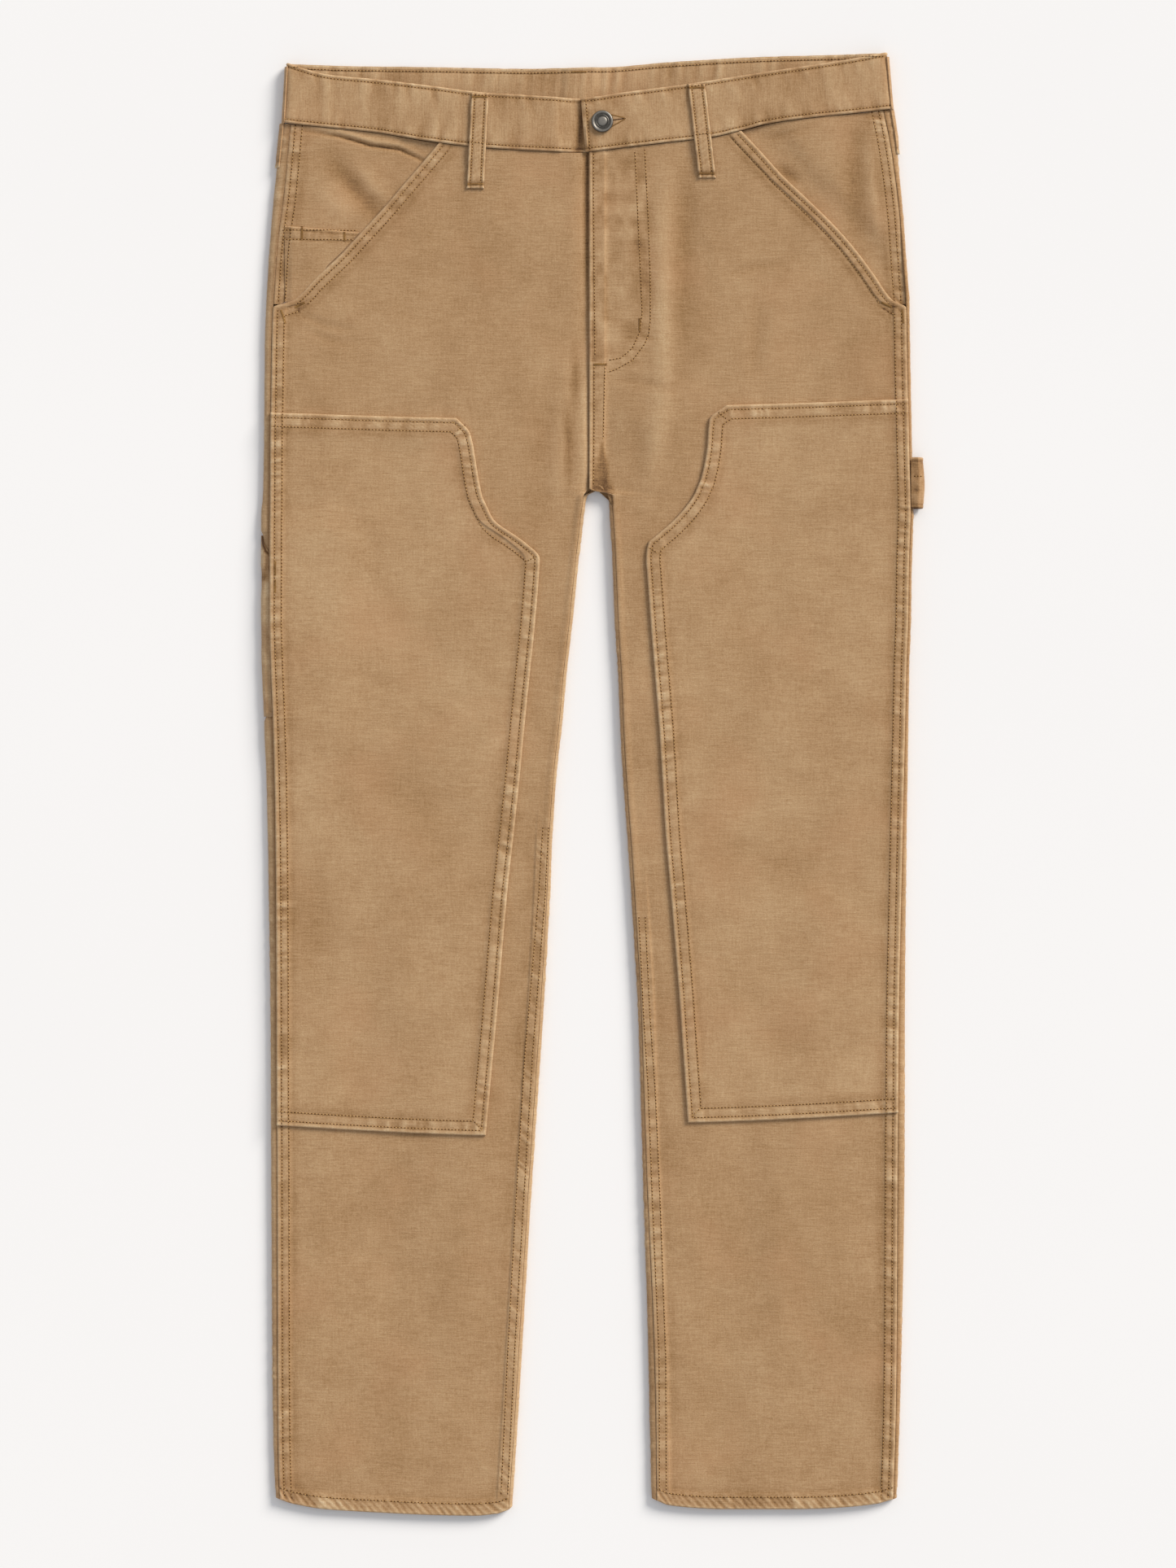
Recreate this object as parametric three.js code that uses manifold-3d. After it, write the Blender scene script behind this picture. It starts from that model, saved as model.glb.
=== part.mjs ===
// Carpenter pants in cotton duck, buttoned and laid flat on their back.
// Millimetres. X runs to the wearer's left, Y towards the waist, Z up from the surface.
// The origin is the middle of the footprint, on the surface that they lie on.
import * as THREE from 'three';
import Module from 'manifold-3d';
import { mergeVertices } from 'three/addons/utils/BufferGeometryUtils.js';

const wasm = await Module();
wasm.setup();

// Cloth thicknesses and clearances
const CLOTH = 1.5;
const BAND = 2.4;
const STRAP = 1.5;
const POCKET_CLOTH = 1.2;
const GAP = 0.3;
const LOOSE_GAP = 0.5;
const BACK_WAIST_GAP = 0.7;

// Felled seams, hems and turned edges, raised by the layers folded under them
const SEAM_WIDTH = 9.4;
const SEAM_RISE = 0.6;
const SEAM_STEP = 1.2;
const FLY_BAND = 12;
const HEM_DEPTH = 11;
const PATCH_BAND = 11.3;
const PATCH_RISE = 0.5;

// Where the fly, the crotch and the centre back lie
const FLY_X = -3.2;
const UNDERLAP = 12.5;
const FLY_RAMP = 10;
const CROTCH_Y = 222.8;
const CENTRE_BACK_X = 3.7;
const CROTCH_RISE = 14;
const CROTCH_TOP_Z = 3.3;

// Depths under the crotch or heights over it between which a form comes in
const CROWN_FROM = 60;
const CROWN_FULL = 110;
const UNDERLAP_FROM = 70;
const UNDERLAP_FULL = 150;
const UNDERLAP_LEAST = 2.5;

// Outline of the legs seen from the front, a row for each height, without and with a crotch side.
// outline: outermost edge, seam: side seam on top, inner: edge at the other leg, wrap: inseam set in
const RIGHT_ROWS = [
  { y: 515, outline: -238.6, seam: -231.8, inner: 0, wrap: 2.5 },
  { y: 475, outline: -242.8, seam: -235.3, inner: 0, wrap: 2.5 },
  { y: 452, outline: -245.3, seam: -237.4, inner: 0, wrap: 2.5 },
  { y: 415, outline: -248.4, seam: -242.6, inner: 0, wrap: 2.5 },
  { y: 377, outline: -250.9, seam: -245.5, inner: 0, wrap: 2.5 },
  { y: 340, outline: -252.2, seam: -246.8, inner: 0, wrap: 2.5 },
  { y: 265, outline: -252.8, seam: -247.9, inner: -1, wrap: 2.5 },
  { y: 223, outline: -253.5, seam: -248.1, inner: -4.2, wrap: 2.5 },
  { y: 208, outline: -255.0, seam: -248.2, inner: -6.6, wrap: 2.5 },
  { y: 171, outline: -255.0, seam: -248.3, inner: -10.9, wrap: 2.5 },
  { y: 127, outline: -255.0, seam: -248.4, inner: -15.3, wrap: 2.5 },
  { y: 90, outline: -254.6, seam: -247.4, inner: -19.7, wrap: 2.5 },
  { y: 52, outline: -252.8, seam: -245.9, inner: -22.8, wrap: 2.5 },
  { y: 15, outline: -251.3, seam: -244.8, inner: -27.2, wrap: 2.5 },
  { y: -23, outline: -250.2, seam: -244.1, inner: -30.3, wrap: 2.5 },
  { y: -98, outline: -249.0, seam: -243.4, inner: -33.4, wrap: 2.5 },
  { y: -173, outline: -247.9, seam: -243.2, inner: -37.8, wrap: 2.5 },
  { y: -323, outline: -247.2, seam: -242.8, inner: -47.8, wrap: 2.5 },
  { y: -473, outline: -246.4, seam: -242.4, inner: -56.6, wrap: 2.5 },
  { y: -523, outline: -245.3, seam: -242.0, inner: -59.7, wrap: 2.6 },
  { y: -562, outline: -243.0, seam: -240.3, inner: -62.2, wrap: 2.7 },
];
const LEFT_ROWS = [
  { y: 525, outline: 229.2, seam: 222.2, inner: 0, wrap: 2.5 },
  { y: 497, outline: 233.4, seam: 227.8, inner: 0, wrap: 2.5 },
  { y: 467, outline: 235.9, seam: 232.6, inner: 0, wrap: 2.5 },
  { y: 433, outline: 239.1, seam: 236.3, inner: 0, wrap: 2.5 },
  { y: 396, outline: 241.6, seam: 239.0, inner: 0, wrap: 2.5 },
  { y: 377, outline: 243.4, seam: 240.6, inner: 0, wrap: 2.5 },
  { y: 321, outline: 244.2, seam: 241.6, inner: 0, wrap: 2.5 },
  { y: 265, outline: 245.3, seam: 242.8, inner: 9.1, wrap: 2.5 },
  { y: 223, outline: 246.3, seam: 243.8, inner: 11.9, wrap: 2.5 },
  { y: 208, outline: 246.6, seam: 244.1, inner: 12.8, wrap: 2.5 },
  { y: 171, outline: 245.3, seam: 242.8, inner: 15.0, wrap: 2.5 },
  { y: 127, outline: 244.7, seam: 242.2, inner: 16.6, wrap: 2.5 },
  { y: 90, outline: 243.4, seam: 240.8, inner: 19.1, wrap: 2.5 },
  { y: 15, outline: 242.2, seam: 239.2, inner: 22.2, wrap: 2.5 },
  { y: -23, outline: 241.5, seam: 238.3, inner: 25.3, wrap: 2.5 },
  { y: -98, outline: 240.6, seam: 236.6, inner: 30.3, wrap: 2.5 },
  { y: -173, outline: 239.9, seam: 235.0, inner: 34.7, wrap: 2.5 },
  { y: -248, outline: 239.8, seam: 234.5, inner: 36.9, wrap: 2.5 },
  { y: -323, outline: 239.6, seam: 234.1, inner: 39.1, wrap: 3.0 },
  { y: -398, outline: 238.1, seam: 233.8, inner: 41.6, wrap: 4.2 },
  { y: -473, outline: 236.4, seam: 233.2, inner: 43.4, wrap: 4.8 },
  { y: -523, outline: 234.9, seam: 231.9, inner: 44.4, wrap: 4.2 },
  { y: -562, outline: 233.0, seam: 230.2, inner: 45.6, wrap: 3.4 },
];

// Height of the top surface, in the middle of a leg and at its seams
const HEIGHT_ROWS = [
  { y: 530, middle: 6.5, edge: 6.0 },
  { y: 440, middle: 6.7, edge: 6.1 },
  { y: 200, middle: 6.6, edge: 6.2 },
  { y: 0, middle: 6.5, edge: 6.0 },
  { y: -260, middle: 6.3, edge: 5.8 },
  { y: -562, middle: 5.7, edge: 5.3 },
];
const CROWN_WIDTH = 45;

// Sag of the level lines from the side seam to the inner edge
const SAG_ROWS = [
  { y: 440, sag: 12 },
  { y: 285, sag: 5.5 },
  { y: 0, sag: 6 },
  { y: -262, sag: 8 },
  { y: -562, sag: 8 },
];

// Where the band folds at each side, how far it leans in over its height, and its height
const RIGHT_FOLD_X = -237.8;
const LEFT_FOLD_X = 229.7;
const RIGHT_LEAN = 0.0105;
const LEFT_LEAN = 0.0165;
const BAND_HEIGHT = 44.5;

// Waistband edges from end to end
const WAIST_ROWS = [
  { x: RIGHT_FOLD_X, frontTop: 554.1, frontBottom: 507.8, backTop: 554.1 },
  { x: -216, frontTop: 546.4, frontBottom: 505.4, backTop: 553.2 },
  { x: -167, frontTop: 541.0, frontBottom: 500.3, backTop: 552.0 },
  { x: -127, frontTop: 536.3, frontBottom: 493.8, backTop: 551.7 },
  { x: -88, frontTop: 531.4, frontBottom: 489.0, backTop: 551.2 },
  { x: -45, frontTop: 528.8, frontBottom: 486.4, backTop: 550.4 },
  { x: -8, frontTop: 526.8, frontBottom: 485.2, backTop: 551.2 },
  { x: 18, frontTop: 530.3, frontBottom: 488.0, backTop: 552.8 },
  { x: 55, frontTop: 535.0, frontBottom: 492.4, backTop: 555.2 },
  { x: 93, frontTop: 540.4, frontBottom: 497.0, backTop: 557.6 },
  { x: 114, frontTop: 543.7, frontBottom: 501.9, backTop: 558.8 },
  { x: 134, frontTop: 546.8, frontBottom: 507.0, backTop: 559.6 },
  { x: 170, frontTop: 552.0, frontBottom: 512.0, backTop: 560.6 },
  { x: 200, frontTop: 556.6, frontBottom: 515.0, backTop: 561.4 },
  { x: LEFT_FOLD_X, frontTop: 562.0, frontBottom: 518.4, backTop: 562.5 },
];

// Bottom edge of each hem
const RIGHT_HEM = [
  { x: -243.4, y: -548.6 },
  { x: -234, y: -552.4 },
  { x: -218, y: -555.9 },
  { x: -205, y: -557.4 },
  { x: -180, y: -559.0 },
  { x: -130, y: -561.6 },
  { x: -92, y: -562.4 },
  { x: -68, y: -560.4 },
  { x: -61.6, y: -555.0 },
];
const LEFT_HEM = [
  { x: 45.3, y: -549.0 },
  { x: 57, y: -554.1 },
  { x: 70, y: -555.9 },
  { x: 95, y: -557.2 },
  { x: 157, y: -557.2 },
  { x: 182, y: -556.6 },
  { x: 207, y: -554.7 },
  { x: 220, y: -552.8 },
  { x: 233.4, y: -548.8 },
];

// Slanted pocket mouths, by the level line that each point lies on
const RIGHT_MOUTH = [
  { y: 507.8, x: -118.4 },
  { y: 450, x: -160.9 },
  { y: 412, x: -192.2 },
  { y: 372, x: -230.9 },
];
const LEFT_MOUTH = [
  { y: 518.4, x: 114.1 },
  { y: 479, x: 143.4 },
  { y: 424, x: 194.1 },
  { y: 372, x: 230.6 },
];

// Inner edge of each knee patch, and its run on to the waist and the hem
const RIGHT_PATCH_EDGE = [
  { y: 490, x: -62 },
  { y: 300, x: -106 },
  { y: 280.3, x: -104.7 },
  { y: 276.6, x: -96.6 },
  { y: 263, x: -92.2 },
  { y: 234.7, x: -87.8 },
  { y: 219.7, x: -84.7 },
  { y: 202.8, x: -75.9 },
  { y: 189.7, x: -57.8 },
  { y: 177.2, x: -40.9 },
  { y: 170, x: -40.6 },
  { y: 112, x: -45.3 },
  { y: 67, x: -50.3 },
  { y: 7, x: -55.9 },
  { y: -98, x: -67.2 },
  { y: -155, x: -71.6 },
  { y: -270, x: -82.2 },
  { y: -562, x: -106 },
];
const LEFT_PATCH_EDGE = [
  { y: 488, x: 62 },
  { y: 310, x: 106 },
  { y: 292.2, x: 107.8 },
  { y: 288.4, x: 92.4 },
  { y: 284, x: 89.7 },
  { y: 260, x: 87.8 },
  { y: 239, x: 84.7 },
  { y: 221, x: 77.2 },
  { y: 206.6, x: 66.6 },
  { y: 183.4, x: 40.3 },
  { y: 176, x: 40.5 },
  { y: 134, x: 43.4 },
  { y: 41, x: 50.9 },
  { y: -42, x: 55.9 },
  { y: -98, x: 60.9 },
  { y: -160, x: 65.9 },
  { y: -260, x: 72.8 },
  { y: -562, x: 98 },
];

// Large soft folds, each along a line, with its half width and its rise or fall
const FOLDS = [
  { x0: 9.1, y0: 254, x1: 5, y1: 214, width: 4.5, rise: -2.6 },
  { x0: 52, y0: 470, x1: 38, y1: 225, width: 16, rise: 0.5 },
  { x0: 74, y0: 440, x1: 70, y1: 300, width: 15, rise: -0.6 },
  { x0: -15, y0: 350, x1: -19, y1: 215, width: 9, rise: -0.8 },
  { x0: -60, y0: 430, x1: -95, y1: 320, width: 22, rise: 0.4 },
  { x0: 170, y0: 330, x1: 110, y1: 90, width: 26, rise: -0.6 },
  { x0: -170, y0: 300, x1: -120, y1: 40, width: 30, rise: -0.6 },
  { x0: -160, y0: 20, x1: -70, y1: -60, width: 22, rise: -0.5 },
  { x0: 90, y0: 30, x1: 190, y1: -70, width: 24, rise: -0.5 },
  { x0: -190, y0: -120, x1: -150, y1: -420, width: 26, rise: -0.7 },
  { x0: -100, y0: -180, x1: -110, y1: -500, width: 24, rise: 0.4 },
  { x0: 180, y0: -150, x1: 150, y1: -400, width: 24, rise: 0.4 },
  { x0: 120, y0: -260, x1: 100, y1: -520, width: 22, rise: -0.7 },
];
const FOLD_END = 30;
const FOLD_EDGE = 12;

const RIGHT = {
  name: 'right',
  inward: 1,
  rows: RIGHT_ROWS,
  hem: RIGHT_HEM,
  mouth: RIGHT_MOUTH,
  patchEdge: RIGHT_PATCH_EDGE,
  waistY: 507.8,
  hemY: -548.6,
  patchTop: 285.3,
  patchBottom: -262.2,
  underlap: true,
};
const LEFT = {
  name: 'left',
  inward: -1,
  rows: LEFT_ROWS,
  hem: LEFT_HEM,
  mouth: LEFT_MOUTH,
  patchEdge: LEFT_PATCH_EDGE,
  waistY: 518.4,
  hemY: -548.8,
  patchTop: 295.6,
  patchBottom: -252.4,
  underlap: false,
};
const MOUTH_END = 372;
const MOUTH_STEPS = 7;

// Tool pocket on the back of the right leg, and the room that its cloth takes under the panel
const TOOL = { top: 191, bottom: 51.8, inner: -188, slant: 13, rise: 1.4 };
const TOOL_ROOM = POCKET_CLOTH + GAP;
const TOOL_SOFT = 25;
const MOUTH_SLANT_DEPTH = 26;
const STEP_ROW = 4;

// Coin pocket on the right facing
const COIN = { top: 429, bottom: 378, side: -236.5 };

// Straps
const LOOP_WIDTH = 13.8;
const FRONT_LOOPS = [
  { name: 'belt_loop_front_right', top: [-86.6, 530.4], bottom: [-90.3, 457.2] },
  { name: 'belt_loop_front_left', top: [79.4, 537.4], bottom: [87.8, 465.3] },
];
const SIDE_LOOP_BELOW = 34;
const BACK_LOOP_X = -10.3;
const HAMMER = { top: 250.9, bottom: 211.6, reach: 255.0, height: 9.2 };

// Button on the lap of the waistband
const BUTTON = { x: 7.2, y: 508.4, radius: 8.4, shank: 2, eye: 2.6, slit: 0.9, hole: 18, tilt: 0.14 };

const DUCK = { color: '#b8946b', roughness: 0.93, metalness: 0 };
const FACING_DUCK = { color: '#b08c63', roughness: 0.93, metalness: 0 };
const PEWTER = { color: '#6b6861', roughness: 0.42, metalness: 0.9 };

const group = new THREE.Group();

const { smoothstep, clamp, lerp } = THREE.MathUtils;

// Finds the two rows of a table that a value lies between
function rowSpan(rows, by, at) {
  const last = rows.length - 1;
  const rising = rows[last][by] > rows[0][by];
  let i = 0;
  while (i < last - 1 && (rising ? at > rows[i + 1][by] : at < rows[i + 1][by])) i += 1;
  const share = (at - rows[i][by]) / (rows[i + 1][by] - rows[i][by]);
  return [i, clamp(share, 0, 1)];
}

function straightValue(rows, by, at, key) {
  const [i, share] = rowSpan(rows, by, at);
  return lerp(rows[i][key], rows[i + 1][key], share);
}

// Smooth curve through one column of a table
function smoothValue(rows, by, at, key) {
  const [i, t] = rowSpan(rows, by, at);
  const span = rows[i + 1][by] - rows[i][by];
  const slope = (k) => {
    const before = rows[Math.max(k - 1, 0)];
    const after = rows[Math.min(k + 1, rows.length - 1)];
    return (after[key] - before[key]) / (after[by] - before[by]) * span;
  };
  const t2 = t * t;
  const t3 = t2 * t;
  return (2 * t3 - 3 * t2 + 1) * rows[i][key] + (t3 - 2 * t2 + t) * slope(i)
    + (3 * t2 - 2 * t3) * rows[i + 1][key] + (t3 - t2) * slope(i + 1);
}

const legValue = (leg, y, key) => straightValue(leg.rows, 'y', y, key);
const waistValue = (x, key) => smoothValue(WAIST_ROWS, 'x', x, key);

// Rise of the large folds at a point
function foldRise(x, y) {
  let rise = 0;
  for (const fold of FOLDS) {
    const dx = fold.x1 - fold.x0;
    const dy = fold.y1 - fold.y0;
    const length = Math.hypot(dx, dy);
    const along = ((x - fold.x0) * dx + (y - fold.y0) * dy) / length;
    const across = ((x - fold.x0) * dy - (y - fold.y0) * dx) / length;
    const beyond = Math.max(-along, along - length, 0);
    rise += fold.rise * Math.exp(-((across / fold.width) ** 2) - (beyond / FOLD_END) ** 2);
  }
  return rise;
}

// Edge of the front panel at the other leg: the fly, the underlap or the inseam
function frontEnd(leg, y) {
  const lower = legValue(leg, y, 'inner') - leg.inward * legValue(leg, y, 'wrap');
  if (y < CROTCH_Y) return lower;
  if (!leg.underlap) return FLY_X;
  const taper = smoothstep(y, CROTCH_Y + UNDERLAP_FROM, CROTCH_Y + UNDERLAP_FULL);
  return lerp(lower + UNDERLAP_LEAST, FLY_X + UNDERLAP, taper);
}

// Y of a level line where it passes x; the line is named by its height at the side seam
function levelY(leg, line, x, waistKey = 'frontBottom') {
  const seam = legValue(leg, line, 'seam');
  const far = line > CROTCH_Y ? 0 : legValue(leg, line, 'inner');
  const share = clamp((x - seam) / (far - seam), 0, 1);
  const sag = straightValue(SAG_ROWS, 'y', line, 'sag') * Math.sin(share * Math.PI / 2);
  const toWaist = smoothstep(line, leg.waistY - 150, leg.waistY);
  const toHem = smoothstep(-line, -leg.hemY - 90, -leg.hemY);
  let waist = waistValue(clamp(x, RIGHT_FOLD_X, LEFT_FOLD_X), waistKey);
  if (waistKey === 'backTop') waist -= BAND_HEIGHT + BACK_WAIST_GAP;
  waist = Math.min(waist, leg.waistY) - GAP;
  const hem = straightValue(leg.hem, 'x', x, 'y');
  const middle = 1 - toWaist - toHem;
  return line - middle * sag - toWaist * (leg.waistY - waist) - toHem * (leg.hemY - hem);
}

// Height of the top surface of the front, before seams
function frontTop(leg, x, y) {
  const edge = straightValue(HEIGHT_ROWS, 'y', y, 'edge');
  const middle = straightValue(HEIGHT_ROWS, 'y', y, 'middle');
  const side = Math.abs(x - legValue(leg, y, 'seam'));
  const insideLeg = smoothstep(CROTCH_Y - y, CROWN_FROM, CROWN_FULL);
  const inseam = legValue(leg, y, 'inner') - leg.inward * legValue(leg, y, 'wrap');
  const inner = Math.abs(x - inseam);
  const innerCrown = lerp(1, smoothstep(inner, 0, CROWN_WIDTH), insideLeg);
  const crown = smoothstep(side, 0, CROWN_WIDTH) * innerCrown;
  const legShare = y < CROTCH_Y ? smoothstep(inner, 0, FOLD_EDGE) : 1;
  const fade = smoothstep(side, 0, FOLD_EDGE) * legShare;
  let bulk = 0;
  if (leg.underlap) {
    const overBottom = smoothstep(y, TOOL.bottom - TOOL_SOFT, TOOL.bottom);
    const underTop = smoothstep(-y, -TOOL.top - TOOL_SOFT, -TOOL.top);
    bulk = TOOL.rise * overBottom * underTop * smoothstep(TOOL.inner - x, -TOOL_SOFT, TOOL_SOFT);
  }
  return lerp(edge, middle, crown) + foldRise(x, y) * fade + bulk;
}

// Closed wall between two grids of points that face each other
function wallMesh(name, outer, inner, look) {
  const rows = outer.length;
  const columns = outer[0].length;
  const positions = [];
  for (const grid of [outer, inner]) {
    for (const row of grid) {
      for (const point of row) positions.push(...point);
    }
  }
  const at = (side, i, j) => (side * rows + i) * columns + j;
  const triangles = [];
  const quad = (a, b, c, d) => triangles.push([a, b, c], [a, c, d]);
  for (let i = 0; i < rows - 1; i += 1) {
    for (let j = 0; j < columns - 1; j += 1) {
      quad(at(0, i, j), at(0, i + 1, j), at(0, i + 1, j + 1), at(0, i, j + 1));
      quad(at(1, i, j), at(1, i, j + 1), at(1, i + 1, j + 1), at(1, i + 1, j));
    }
  }
  const end = columns - 1;
  for (let i = 0; i < rows - 1; i += 1) {
    quad(at(0, i, 0), at(1, i, 0), at(1, i + 1, 0), at(0, i + 1, 0));
    quad(at(0, i, end), at(0, i + 1, end), at(1, i + 1, end), at(1, i, end));
  }
  const foot = rows - 1;
  for (let j = 0; j < columns - 1; j += 1) {
    quad(at(0, 0, j), at(0, 0, j + 1), at(1, 0, j + 1), at(1, 0, j));
    quad(at(0, foot, j), at(1, foot, j), at(1, foot, j + 1), at(0, foot, j + 1));
  }
  const point = (i) => new THREE.Vector3().fromArray(positions, i * 3);
  let volume = 0;
  for (const [a, b, c] of triangles) volume += point(a).dot(point(b).cross(point(c)));
  if (volume < 0) triangles.forEach((t) => t.reverse());
  const geometry = new THREE.BufferGeometry();
  geometry.setAttribute('position', new THREE.Float32BufferAttribute(positions, 3));
  geometry.setIndex(triangles.flat());
  return addMesh(name, geometry, look);
}

function addMesh(name, geometry, look) {
  const mesh = new THREE.Mesh(geometry, new THREE.MeshStandardMaterial(look));
  mesh.name = name;
  mesh.geometry.computeVertexNormals();
  group.add(mesh);
  return mesh;
}

const lowered = (grid, depth) => grid.map((row) => row.map(([x, y, z]) => [x, y, z - depth]));

// Level lines of one leg, from the waist to the hem, in short bands of even steps
function levelLines(leg) {
  const bands = [
    { to: MOUTH_END, steps: MOUTH_STEPS },
    { to: MOUTH_END - 6, steps: 1 },
    { to: leg.patchTop, steps: 3 },
    { to: leg.patchTop - PATCH_BAND, steps: 1 },
    { to: 240, steps: 2 },
    { to: CROTCH_Y + 9.5, steps: 1 },
    { to: CROTCH_Y + 4.5, steps: 1 },
    { to: 208, steps: 2 },
    { to: TOOL.top + STEP_ROW, steps: 1 },
    { to: TOOL.top, steps: 1 },
    { to: 166, steps: 2 },
    { to: TOOL.bottom, steps: 3 },
    { to: TOOL.bottom - STEP_ROW, steps: 1 },
    { to: leg.patchBottom + PATCH_BAND, steps: 7 },
    { to: leg.patchBottom, steps: 1 },
    { to: leg.hemY + 50, steps: 5 },
    { to: leg.hemY + HEM_DEPTH + SEAM_STEP, steps: 1 },
    { to: leg.hemY + HEM_DEPTH, steps: 1 },
    { to: leg.hemY, steps: 1 },
  ];
  const lines = [leg.waistY];
  for (const band of bands) {
    const from = lines[lines.length - 1];
    for (let k = 1; k <= band.steps; k += 1) lines.push(lerp(from, band.to, k / band.steps));
  }
  return lines;
}

// X where the level line meets an edge that is given by height
function meetEdge(leg, line, edgeX) {
  let x = edgeX(line);
  for (let k = 0; k < 4; k += 1) x = edgeX(levelY(leg, line, x));
  return x;
}

const mouthX = (leg, line) => straightValue(leg.mouth, 'y', line, 'x');

// Columns of a front panel on one level line, with the rise of its seams
function frontColumns(leg, line) {
  const s = leg.inward;
  const onMouth = line >= MOUTH_END - 0.01;
  const seamX = legValue(leg, line, 'seam') + s * GAP / 2;
  const start = onMouth ? mouthX(leg, line) : seamX;
  const patchX = meetEdge(leg, line, (y) => straightValue(leg.patchEdge, 'y', y, 'x'));
  const endX = meetEdge(leg, line, (y) => frontEnd(leg, y) - s * GAP / 2);
  const endY = levelY(leg, line, endX);
  const aboveCrotch = endY > CROTCH_Y;
  let ramp = [endX - s * (SEAM_WIDTH + SEAM_STEP), endX - s * SEAM_WIDTH];
  if (leg.underlap && endX > FLY_X - 1) ramp = [FLY_X - FLY_RAMP, FLY_X - 0.8];
  if (!leg.underlap && aboveCrotch) ramp = [endX + FLY_BAND + SEAM_STEP, endX + FLY_BAND];
  const from = start + s * (SEAM_WIDTH + SEAM_STEP);
  const to = patchX - s * (PATCH_BAND + SEAM_STEP);
  const columns = [[start, SEAM_RISE], [start + s * SEAM_WIDTH, SEAM_RISE], [from, 0]];
  for (let k = 1; k <= 4; k += 1) columns.push([lerp(from, to, k / 5), 0]);
  columns.push([to, 0], [patchX - s * PATCH_BAND, 0], [patchX, 0], [lerp(patchX, ramp[0], 0.5), 0]);
  const endRise = leg.underlap && aboveCrotch ? 0 : SEAM_RISE;
  columns.push([ramp[0], 0], [ramp[1], endRise], [endX, endRise]);
  return columns;
}
const PATCH_COLUMNS = 10;

// Drop of the right panel where it runs in under the lapped left one
function lapDrop(leg, x, y) {
  if (!leg.underlap || y < CROTCH_Y) return 0;
  return (CLOTH + GAP) * smoothstep(x, FLY_X - FLY_RAMP, FLY_X - 0.8);
}

function frontPanel(leg) {
  const top = [];
  const under = [];
  for (const line of levelLines(leg)) {
    const hemRise = line < leg.hemY + HEM_DEPTH + 0.1 ? SEAM_RISE : 0;
    const topRow = [];
    const underRow = [];
    for (const [x, rise] of frontColumns(leg, line)) {
      const y = levelY(leg, line, x);
      const z = frontTop(leg, x, y) - lapDrop(leg, x, y);
      topRow.push([x, y, z + Math.max(rise, hemRise)]);
      underRow.push([x, y, z - CLOTH]);
    }
    top.push(topRow);
    under.push(underRow);
  }
  wallMesh(`front_panel_${leg.name}`, top, under, DUCK);
  return top;
}

// Knee patch on the front panel's own points, moved out, with turned edges
function kneePatch(leg, panelTop) {
  const lines = levelLines(leg);
  const first = lines.indexOf(leg.patchTop);
  const last = lines.indexOf(leg.patchBottom);
  const under = [];
  const top = [];
  for (let i = first; i <= last; i += 1) {
    const row = panelTop[i].slice(0, PATCH_COLUMNS).map(([x, y, z]) => [x, y, z + GAP]);
    under.push(row);
    const turnedRow = i === first || i === first + 1 || i === last || i === last - 1;
    top.push(row.map(([x, y, z], j) => {
      const turned = turnedRow || j >= PATCH_COLUMNS - 2;
      return [x, y, z + CLOTH + (turned ? PATCH_RISE : 0)];
    }));
  }
  wallMesh(`knee_patch_${leg.name}`, top, under, DUCK);
}

// Cloth seen inside a pocket mouth, from the side seam to under the front panel
function pocketFacing(leg) {
  const s = leg.inward;
  const tuck = 8;
  const liftFrom = 10;
  const liftFull = 38;
  const lines = levelLines(leg).slice(0, MOUTH_STEPS + 1);
  lines.push(MOUTH_END - 3);
  const top = [];
  lines.forEach((line, i) => {
    const seam = legValue(leg, line, 'seam') + s * GAP / 2;
    const mouth = mouthX(leg, Math.max(line, MOUTH_END));
    const end = mouth + s * tuck;
    const from = seam + s * (SEAM_WIDTH + SEAM_STEP);
    const xs = [seam, seam + s * SEAM_WIDTH * 0.5, from];
    for (let k = 1; k <= 7; k += 1) xs.push(lerp(from, end, k / 7));
    if (Math.abs(end - seam) < SEAM_WIDTH + SEAM_STEP + 14) {
      for (let k = 0; k < xs.length; k += 1) xs[k] = lerp(seam, end, k / (xs.length - 1));
    }
    top.push(xs.map((x) => {
      const y = levelY(leg, line, x);
      const nearMouth = 1 - smoothstep(Math.abs(x - mouth), liftFrom, liftFull);
      const nearEnd = smoothstep(i, lines.length - 5, lines.length - 3);
      const inside = s * (x - mouth) > 0 ? 1 : 0;
      const drop = Math.max(nearMouth, nearEnd, inside);
      return [x, y, frontTop(leg, x, y) - drop * (CLOTH + GAP)];
    }));
  });
  wallMesh(`hip_pocket_facing_${leg.name}`, top, lowered(top, CLOTH), FACING_DUCK);
  return top;
}

// Height of a grid's surface at a point
function gridHeight(grid, x, y) {
  const corner = new THREE.Vector3(x, y, 0);
  for (let i = 0; i < grid.length - 1; i += 1) {
    for (let j = 0; j < grid[i].length - 1; j += 1) {
      const quad = [grid[i][j], grid[i + 1][j], grid[i + 1][j + 1], grid[i][j + 1]];
      const points = quad.map(([px, py]) => new THREE.Vector3(px, py, 0));
      for (const [a, b, c] of [[0, 1, 2], [0, 2, 3]]) {
        const weights = new THREE.Vector3();
        if (!THREE.Triangle.getBarycoord(corner, points[a], points[b], points[c], weights)) continue;
        if (Math.min(weights.x, weights.y, weights.z) < -1e-6) continue;
        return weights.x * quad[a][2] + weights.y * quad[b][2] + weights.z * quad[c][2];
      }
    }
  }
  return grid[0][0][2];
}

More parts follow.
